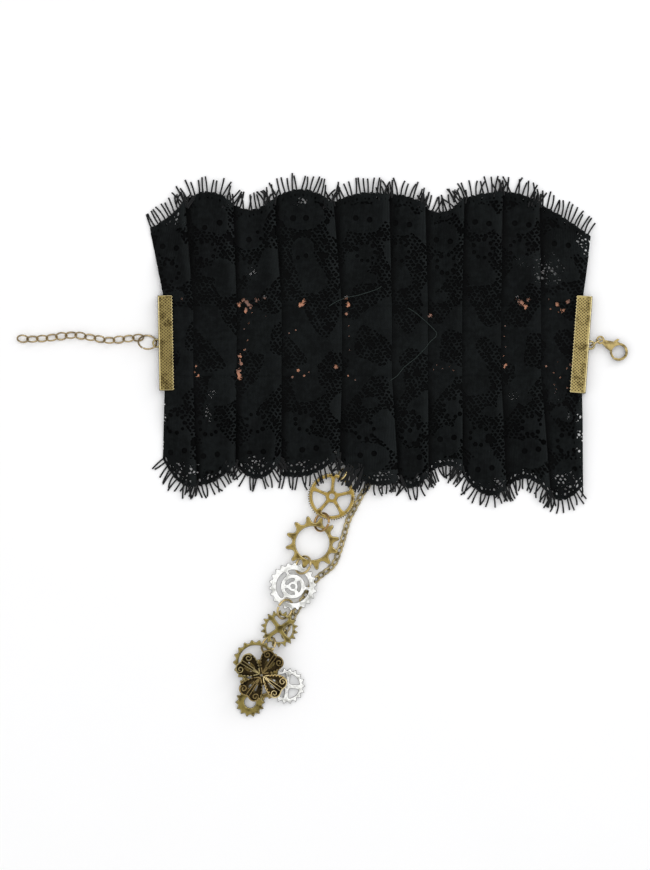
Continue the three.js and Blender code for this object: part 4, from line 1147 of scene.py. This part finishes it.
def makeLashes():
    groups = {"straight": [], "curled": []}
    own = np.random.default_rng(21)
    for side in (1, -1):
        for pleat in range(pleatCount):
            x, y, z = edgePoints(pleat, side, np.linspace(0, 1, 160))
            run = runOf(x, y)
            stops = np.arange(0.5, run[-1], lashes["spacing"])
            stops = stops + own.uniform(-1, 1, len(stops)) * lashes["spacingPlay"]
            for stop in stops:
                px, py, pz = (float(np.interp(stop, run, values)) for values in (x, y, z))
                ahead, back = (float(np.interp(stop + way * 1.5, run, x)) for way in (1, -1))
                up, down = (float(np.interp(stop + way * 1.5, run, y)) for way in (1, -1))
                tangent = math.atan2(up - down, ahead - back)
                outward = tangent + side * math.pi / 2
                straight = side * math.pi / 2
                angle = mixed(outward, straight, lashes["fan"]) + own.normal(0, lashes["angleSpread"])
                kind = "curled" if own.random() < lashes["curledShare"] else "straight"
                groups[kind].append((px, py, pz, angle, own.uniform(*lashes["sideScale"][side])))
            if pleat < pleatCount - 1:
                # the turned-back layer's lashes cross those of the next pleat
                x, y, z = (float(values[-1]) for values in (x, y, z))
                for _ in range(lashes["foldLocks"]):
                    angle = side * math.pi / 2 + own.uniform(-0.5, 0.5)
                    groups["curled" if own.random() < 0.4 else "straight"].append(
                        (x + own.uniform(-3.2, 1.5), y - side * own.uniform(0.6, 1.6), z * 0.7 + 0.15, angle,
                         own.uniform(0.8, 1.15)))
    tuft = lashes["tuft"]
    for _ in range(tuft["count"]):
        groups["straight"].append((tuft["at"][0] + own.uniform(-1, 1) * tuft["spread"][0],
                                   tuft["at"][1] + own.uniform(-1, 1) * tuft["spread"][1], tuft["height"],
                                   math.radians(own.uniform(*tuft["angles"])), own.uniform(*tuft["scales"])))
    meshes = []
    for kind, rows in groups.items():
        turns, scales = [], []
        for x, y, z, angle, scale in rows:
            length = lashes["length"] * scale
            tipX, tipY = x + length * math.cos(angle), y + length * math.sin(angle)
            fall = (z - restHeight(tipX, tipY, z)) / length
            pitch = math.asin(max(-0.35, min(0.6, fall)))
            turns.append((own.choice((0, math.pi)) + own.normal(0, 0.15), pitch, angle))
            scales.append((scale, 1, 1))
        grove = Grove(kind + "Lashes", {
            "Length": lashes["length"] * mm, "Middle": lashes["length"] * 0.55 * mm,
            "Bend": lashes["bend" if kind == "straight" else "curl"] * mm,
            "Thread Radius": lashes["thread"] * mm})
        meshes.append(scattered(kind + "Lashes", grove, eyelash, [row[:3] for row in rows], turns, scales,
                                lashThread))
    for k, stops in enumerate(looseEnds["routes"]):
        meshes.append(wireAlong(f"looseThread{k}", threadRoute(stops), looseEnds["radius"], looseThread,
                                resolution=1))
    mesh = joined(meshes, "laceLashes")
    points = pointsOf(mesh)
    points[:, 2] = np.maximum(points[:, 2], lashes["lowest"] * mm)  # nothing reaches under the ground
    addPiece("laceLashes", setPoints(mesh, points), "pleated_lace")
    print("lashes made,", sum(len(rows) for rows in groups.values()))


# chains
extender = {"pitch": 3.12, "width": 3.5, "wire": 0.58, "roll": 45, "lap": 0.14, "finish": chainBronze,
            "route": [(-118.9, 1.8, 1.36), (-113.7, 1.6, 1.36), (-108.6, 2.0, 1.36), (-100.3, 2.9, 1.36),
                      (-93.8, 2.0, 1.36), (-88.5, 1.2, 1.36), (-83.0, 1.7, 1.36), (-77.3, 2.2, 1.36)]}
fineChain = {"pitch": 2.1, "width": 2.3, "wire": 0.66, "roll": 30, "lap": 0.1, "finish": fineGold,
             "route": [(-8.0, -41.2, 1.0), (-5.4, -42.0, 0.96), (-2.3, -46.3, 0.84), (-4.5, -50.3, 0.84),
                       (-7.0, -55.0, 0.84), (-9.0, -59.0, 0.84), (-10.4, -64.0, 0.84), (-12.0, -69.0, 0.84),
                       (-14.0, -73.7, 0.84), (-19.5, -78.3, 0.84), (-22.4, -82.3, 0.84), (-25.9, -88.5, 0.84),
                       (-28.3, -92.6, 0.84), (-30.6, -97.6, 0.84)]}


def smoothRoute(stops, count):
    # points at even steps of length along a centripetal Catmull-Rom curve, and their directions
    stops = [np.array(p, dtype=float) for p in stops]
    stops = [2 * stops[0] - stops[1]] + stops + [2 * stops[-1] - stops[-2]]
    fine = []
    for k in range(1, len(stops) - 2):
        p = stops[k - 1:k + 3]
        knots = [0.0]
        for j in range(3):
            knots.append(knots[-1] + np.linalg.norm(p[j + 1] - p[j]) ** 0.5)
        for t in np.linspace(knots[1], knots[2], 40, endpoint=k == len(stops) - 3):
            first = [((knots[j + 1] - t) * p[j] + (t - knots[j]) * p[j + 1]) / (knots[j + 1] - knots[j])
                     for j in range(3)]
            second = [((knots[j + 2] - t) * first[j] + (t - knots[j]) * first[j + 1]) /
                      (knots[j + 2] - knots[j]) for j in range(2)]
            fine.append(((knots[2] - t) * second[0] + (t - knots[1]) * second[1]) / (knots[2] - knots[1]))
    fine = np.array(fine)
    run = runOf(*fine.T)
    places = (np.arange(count) + 0.5) / count * run[-1]
    at = np.stack([np.interp(places, run, fine[:, j]) for j in range(3)], axis=1)
    ahead = np.stack([np.interp(places + 0.3, run, fine[:, j]) - np.interp(places - 0.3, run, fine[:, j])
                      for j in range(3)], axis=1)
    return at, ahead, run[-1]


def makeChain(name, node, chain):
    length = smoothRoute(chain["route"], 2)[2]
    count = round(length / chain["pitch"])
    at, ahead, length = smoothRoute(chain["route"], count)
    turns = []
    own = np.random.default_rng(3)
    for k, step in enumerate(ahead):
        roll = math.radians(chain["roll"] * (1 if k % 2 == 0 else -1) + own.uniform(-6, 6))
        turns.append((roll, -math.atan2(step[2], math.hypot(step[0], step[1])), math.atan2(step[1], step[0])))
    long = length / count + 2 * chain["wire"] - chain["lap"]
    grove = Grove(name, {"Half Length": (long - chain["wire"]) / 2 * mm,
                         "Half Width": (chain["width"] - chain["wire"]) / 2 * mm,
                         "Wire Radius": chain["wire"] / 2 * mm})
    mesh = scattered(name, grove, ovalLink, at, turns, (1, 1, 1), chain["finish"])
    setWearAndShade(mesh, 0.45)
    addPiece(name, mesh, node)
    print(name, "made,", count, "links")


# ribbon clamps: two plates with fine teeth along their inner side, joined along the outer one
clamps = {
    "clamp_left": {"at": (-69.5, 0.3), "turn": 1.1, "width": 5.1, "length": 31.6, "outward": -1,
                   "finish": clampDark},
    "clamp_right": {"at": (68.4, -0.2), "turn": -4.1, "width": 5.5, "length": 32.4, "outward": 1,
                    "finish": clampGold},
}
clampFace = {"height": 3.6, "plate": 0.5, "bevel": 0.18, "tooth": 1.05, "toothDepth": 0.42, "rim": 0.30,
             "rimHeights": (0.26, 0.28, 0.26), "rimInset": 0.4, "loopRadius": 1.25, "loopWire": 0.35,
             "loopReach": 0.55, "loopHeight": 2.1, "dotRadius": 0.25, "dotFlat": 0.16, "stepAcross": 1.12,
             "stepAlong": 0.5, "margin": 0.85}


def clampOutline(half, long):
    # counter-clockwise, its teeth along the left side
    count = round(2 * long / clampFace["tooth"])
    step = 2 * long / count
    corners = [(half, -long), (half, long)]
    for k in range(count):
        corners += [(clampFace["toothDepth"] - half, long - k * step), (-half, long - (k + 0.5) * step)]
    return corners + [(clampFace["toothDepth"] - half, -long)]


def dotPlaces(half, long):
    # staggered rows over a clamp's face
    places, row, y = [], 0, -long + clampFace["margin"]
    while y < long - clampFace["margin"] * 0.8:
        x = clampFace["margin"] - half + (row % 2) * clampFace["stepAcross"] / 2
        while x < half - clampFace["margin"]:
            places.append((x, y, clampFace["height"]))
            x += clampFace["stepAcross"]
        row += 1
        y += clampFace["stepAlong"]
    return places


def makeClamps():
    bevel = clampFace["bevel"]
    for node, clamp in clamps.items():
        half, long, finish = clamp["width"] / 2, clamp["length"] / 2, clamp["finish"]
        top = clampFace["height"] - clampFace["plate"]
        outline = clampOutline(half, long)
        parts = [shifted(blank(node + "Plate", [outline], clampFace["plate"], bevel, finish, 2), 0, 0, base)
                 for base in (0, top)]
        inner = half - clampFace["plate"]
        parts.append(blank(node + "Wall", [[(inner, -long), (half, -long), (half, long), (inner, long)]],
                           clampFace["height"], bevel, finish, 2))
        edge, end = half - clampFace["rim"], long - clampFace["rimInset"]
        route = [(edge, y, top + rise) for y, rise in zip((-end, 0, end), clampFace["rimHeights"])]
        parts.append(wireAlong(node + "Rim", route, clampFace["rim"], finish, worn=1.0))
        loop = wireRing(clampFace["loopRadius"], clampFace["loopWire"], node + "Loop", finish)
        parts.append(shifted(loop, half + clampFace["loopReach"], 0, clampFace["loopHeight"]))
        grove = Grove(node + "Dots", {"Radius": clampFace["dotRadius"] * mm})
        parts.append(scattered(node + "Dots", grove, bead, dotPlaces(half, long), (0, 0, 0),
                               (1, 1, clampFace["dotFlat"]), pitBrown))
        mesh = joined(parts, node)
        # the left clamp is the right one turned half round
        turn = math.radians(clamp["turn"] + (0 if clamp["outward"] > 0 else 180))
        mesh.transform(Matrix.Rotation(turn, 4, "Z"))
        addPiece(pieceName("dotted", node), shifted(mesh, *clamp["at"], 0), node)
    print("clamps made")


# the clasp and its lever, from the source's solids; angles in degrees
clasp = {"mergeAt": 0.000002, "flatWithin": 3, "roundAbove": 25, "sharpAbove": 42, "steps": 3,
         "solids": (("clasp_body", "roundedClaspBody", 0.34, root),
                    ("clasp_lever", "roundedClaspLever", 0.2, "lever"))}


def rounded(node, name, bevel):
    # a source solid with its doubles merged and its edges rounded
    mesh = joined([bpy.data.objects[node].data], name, clasp["mergeAt"])
    work = bmesh.new()
    work.from_mesh(mesh)
    bmesh.ops.dissolve_limit(work, angle_limit=math.radians(clasp["flatWithin"]), verts=work.verts,
                             edges=work.edges)
    work.to_mesh(mesh)
    work.free()
    holder = added(name + "Blank", dressed(mesh, claspBronze))
    modifier = holder.modifiers.new("round", "BEVEL")
    modifier.width, modifier.segments = bevel * mm, clasp["steps"]
    modifier.limit_method, modifier.angle_limit = "ANGLE", math.radians(clasp["roundAbove"])
    modifier.use_clamp_overlap = True
    return settled(holder, name)


def makeClasp():
    for node, name, bevel, body in clasp["solids"]:
        mesh = rounded(node, name, bevel)
        markWearAndShade(mesh)
        setSmooth(mesh)
        mesh.set_sharp_from_angle(angle=math.radians(clasp["sharpAbove"]))
        addPiece(name, mesh, node, body)
    print("clasp made")


makeLashes()
makeChain("ovalExtensionChain", "extension_chain", extender)
makeChain("linkedFineChain", "fine_chain", fineChain)
makeClamps()
makeClasp()


# the filigree flower: each petal is wire work on a thin pierced leaf, bent up like a cup
flower = {"at": (-37.8, -110.2, 2.7), "thick": 0.5, "turn": -35, "cup": 0.034, "leaf": 0.35, "leafBevel": 0.1,
          "outline": [(0.9, -0.45), (2.2, -1.7), (3.6, -3.0), (5.6, -4.0), (7.4, -4.05), (8.6, -2.9),
                      (8.75, -1.5), (8.1, 0.0), (8.75, 1.5), (8.6, 2.9), (7.4, 4.05), (5.6, 4.0),
                      (3.6, 3.0), (2.2, 1.7), (0.9, 0.45)],
          "slots": [[(3.2, 0.7), (5.9, 0.85), (6.0, 1.25), (5.0, 1.45), (3.7, 1.1)]],
          # wires on the leaf: x, y and rise over its face
          "bar": [(1.6, 0.32, 0), (4.0, 0.42, 0.1), (8.2, 0.55, 0)],
          "ridge": [(0.4, 0, 0.15), (1.6, 0, 0.3), (3.4, 0, 0.15)], "ridgeRadius": 0.34,
          "scroll": {"at": (6.9, 2.35), "start": 0.3, "big": 1.3, "small": 0.3, "turns": 1.35, "points": 22},
          "rimRadius": 0.24, "wireRadius": 0.2, "beadRadius": 0.42,
          "boss": 3.4, "bossBore": 0.35, "bossThick": 0.4, "bossBevel": 0.15,
          "beads": [(2.5, 1.55), (3.3, 2.2), (4.2, 2.75), (5.2, 3.2), (6.2, 3.55)],
          # bright gives the petals whose wires are painted lit with a lighter metal; the others' wires take
          # the bronze painted in shade
          "bright": {0: paleGold, 2: olive}, "longestEdge": 1.2}


def cupUp(mesh, turn):
    points = pointsOf(mesh)
    points[:, 2] += flower["cup"] / mm * (points[:, 0] ** 2 + points[:, 1] ** 2)
    setPoints(mesh, points).transform(Matrix.Rotation(turn, 4, "Z"))
    return shifted(mesh, *flower["at"])


def scroll(side):
    form = flower["scroll"]
    points = []
    for k in range(form["points"]):
        share = k / (form["points"] - 1)
        angle = side * (form["start"] + share * form["turns"] * 2 * math.pi)
        radius = mixed(form["big"], form["small"], share)
        points.append((form["at"][0] + radius * math.cos(angle),
                       side * form["at"][1] + radius * math.sin(angle), flower["thick"]))
    return points


def petalParts(metal, bright):
    # metal is the leaf's bronze, painted in shade; bright is the wires' metal
    outline = softened(flower["outline"], 2)
    loops = [outline]
    for side in (1, -1):
        loops += [softened([(x, side * y) for x, y in slot], 1) for slot in flower["slots"]]
    top = flower["thick"] * 0.85
    rim = [(x * 0.97 + 0.1, y * 0.94, top) for x, y in outline[::2]]
    parts = [subdivided(blank("leaf", loops, flower["leaf"], flower["leafBevel"], metal)),
             wireAlong("rimWire", rim, flower["rimRadius"], bright, closed=True, worn=0.8)]
    for side in (1, -1):
        bar = [(x, side * y, top + rise) for x, y, rise in flower["bar"]]
        parts.append(wireAlong("bar", bar, flower["wireRadius"], bright, worn=0.9, ends=0.6))
        parts.append(wireAlong("scroll", scroll(side), flower["wireRadius"], bright, worn=0.8, ends=0.7))
    ridge = [(x, y, top + rise) for x, y, rise in flower["ridge"]]
    parts.append(wireAlong("ridge", ridge, flower["ridgeRadius"], bright, worn=1.0, ends=0.25))
    return parts


def subdivided(mesh):
    # shorter edges, so that the leaf can bend
    work = bmesh.new()
    work.from_mesh(mesh)
    long = [edge for edge in work.edges if edge.calc_length() > flower["longestEdge"] * mm]
    bmesh.ops.subdivide_edges(work, edges=long, cuts=2)
    bmesh.ops.triangulate(work, faces=work.faces)
    work.to_mesh(mesh)
    work.free()
    return mesh


def makeFlower():
    parts = {"dark": [], "lit": []}
    beads = {"dark": [], "lit": []}
    for k in range(4):
        turn = math.radians(flower["turn"]) + k * math.pi / 2
        # the first petal is painted lit, the others painted in shade
        kind = "lit" if k == 0 else "dark"
        petal = petalParts(paintedShadeBronze, flower["bright"].get(k, paintedShadeBronze))
        parts[kind] += [cupUp(part, turn) for part in petal]
        for side in (1, -1):
            for x, y in flower["beads"]:
                z = flower["thick"] + flower["cup"] * (x * x + y * y)
                spot = Matrix.Rotation(turn, 3, "Z") @ Vector((x, side * y, z)) + Vector(flower["at"])
                beads[kind].append(tuple(spot))
    # the boss is painted in shade too
    boss = blank("boss", [circle(flower["boss"], 40), circle(flower["bossBore"], 12)],
                 flower["bossThick"], flower["bossBevel"], paintedShadeBronze)
    parts["dark"].append(shifted(boss, *flower["at"]))
    # beads take the shaded bronze on the shaded petals and pale gold on the lit one
    for kind, name, metal, slot in (("dark", "filigreeDarkPetals", paintedShadeBronze, "dark_bronze"),
                                    ("lit", "filigreeLitPetal", paleGold, "bronze")):
        grove = Grove(kind + "Beads", {"Radius": flower["beadRadius"] * mm})
        parts[kind].append(scattered(kind + "Beads", grove, bead, beads[kind], (0, 0, 0), (1, 1, 1), metal))
        addPiece(name, joined(parts[kind], name), "filigree_flower")
    print("flower made")


# the copper satin strip behind the lace, and the cord under the lower ruffle
strip = {"halfWidth": 15.3, "from": (-67.8, 0.3), "to": (66.7, -0.1), "height": 1.5, "swell": 0.1,
         "columns": 180, "rows": 44, "hemIn": 1.1, "hemWide": 0.3, "hemDepth": 0.12}


def makeStrip():
    columns, rows = strip["columns"], strip["rows"]
    share, way = np.meshgrid(np.linspace(0, 1, columns), np.linspace(-1, 1, rows))
    x = mixed(strip["from"][0], strip["to"][0], share)
    y = mixed(strip["from"][1], strip["to"][1], share) + way * strip["halfWidth"]
    fromHem = (np.abs(way) - 1) * strip["halfWidth"] + strip["hemIn"]
    z = strip["height"] + strip["swell"] * np.sin(x * 0.6) * np.sin(y * 0.4 + x * 0.13) - \
        strip["hemDepth"] * np.exp(-(fromHem / strip["hemWide"]) ** 2)
    faces = [(a, a + 1, a + 1 + columns, a + columns) for r in range(rows - 1)
             for a in range(r * columns, r * columns + columns - 1)]
    points = np.stack([x, y, z], axis=2).reshape(-1, 3)
    flat = points[:, :2] * mm + 0.1
    piece = makeMesh("satinStrip", points, faces, copperSatin, flat, "backing_strip")
    print("strip made")


def makeCord():
    # the source's cord, with its own thread finish
    dressed(bpy.data.objects["hanger_cord"].data, cordThread)


makeFlower()
makeStrip()
makeCord()


# floor, light and camera: places and sizes in millimetres, lamps in watts
stage = {"middle": (-16.67, -30.33), "photoHeight": 290.0, "distance": 1200.0, "sensor": 24,
         "floorHalf": 900, "floorDepth": 0.1, "floorTone": (0.965, 0.965, 0.97), "floorShade": 0.985,
         "horizon": 0.3, "zenith": 0.95,
         "lamps": {"softbox": ((160, 220, 900), 900, 2.6), "fill": ((-420, -260, 600), 500, 0.5),
                   "edge": ((480, 420, 420), 260, 0.7)}}


def makeFloor():
    half = stage["floorHalf"]
    mesh = bpy.data.meshes.new("floor")
    mesh.from_pydata([(x * half * mm, y * half * mm, 0) for x, y in ((-1, -1), (1, -1), (1, 1), (-1, 1))],
                     [], [(0, 1, 2, 3)])
    paper = Finish("pale floor", Roughness=0.85, Specular_IOR_Level=0.2)
    soft = paper.noise(paper.place(), 30, 2)
    darker = tuple(value * stage["floorShade"] for value in stage["floorTone"])
    paper.set(Base_Color=paper.mix(soft, stage["floorTone"], darker))
    mesh.materials.append(paper.material)
    floor = added("floor", mesh)
    floor.location.z = -stage["floorDepth"] * mm


def makeSky():
    # brighter overhead than at the horizon, so that rounded edges of metal show
    world = bpy.data.worlds.new("studio")
    world.use_nodes = True
    nodes, links = world.node_tree.nodes, world.node_tree.links
    sky = nodes.new("ShaderNodeTexCoord")
    height = nodes.new("ShaderNodeSeparateXYZ")
    level = nodes.new("ShaderNodeMapRange")
    level.inputs["To Min"].default_value = stage["horizon"]
    level.inputs["To Max"].default_value = stage["zenith"]
    links.new(sky.outputs["Generated"], height.inputs[0])
    links.new(height.outputs[2], level.inputs[0])
    links.new(level.outputs[0], nodes["Background"].inputs[1])
    nodes["Background"].inputs[0].default_value = (1.0, 1.0, 1.0, 1)
    bpy.context.scene.world = world


def makeStage():
    bpy.context.scene.view_settings.view_transform = "Standard"
    makeFloor()
    makeSky()
    for name, (place, size, power) in stage["lamps"].items():
        lamp = bpy.data.lights.new(name, "AREA")
        lamp.shape, lamp.size, lamp.energy = "SQUARE", size * mm, power
        holder = added(name, lamp)
        holder.location = Vector(place) * mm
        aim = Vector((*stage["middle"], 0)) * mm - holder.location
        holder.rotation_euler = aim.to_track_quat("-Z", "Y").to_euler()
    lens = bpy.data.cameras.new("overhead")
    lens.sensor_fit = "VERTICAL"
    lens.sensor_height = stage["sensor"]
    lens.lens = stage["sensor"] * stage["distance"] / stage["photoHeight"]
    camera = added("overhead", lens)
    camera.location = Vector((*stage["middle"], stage["distance"])) * mm
    bpy.context.scene.camera = camera
    print("stage set")


makeStage()
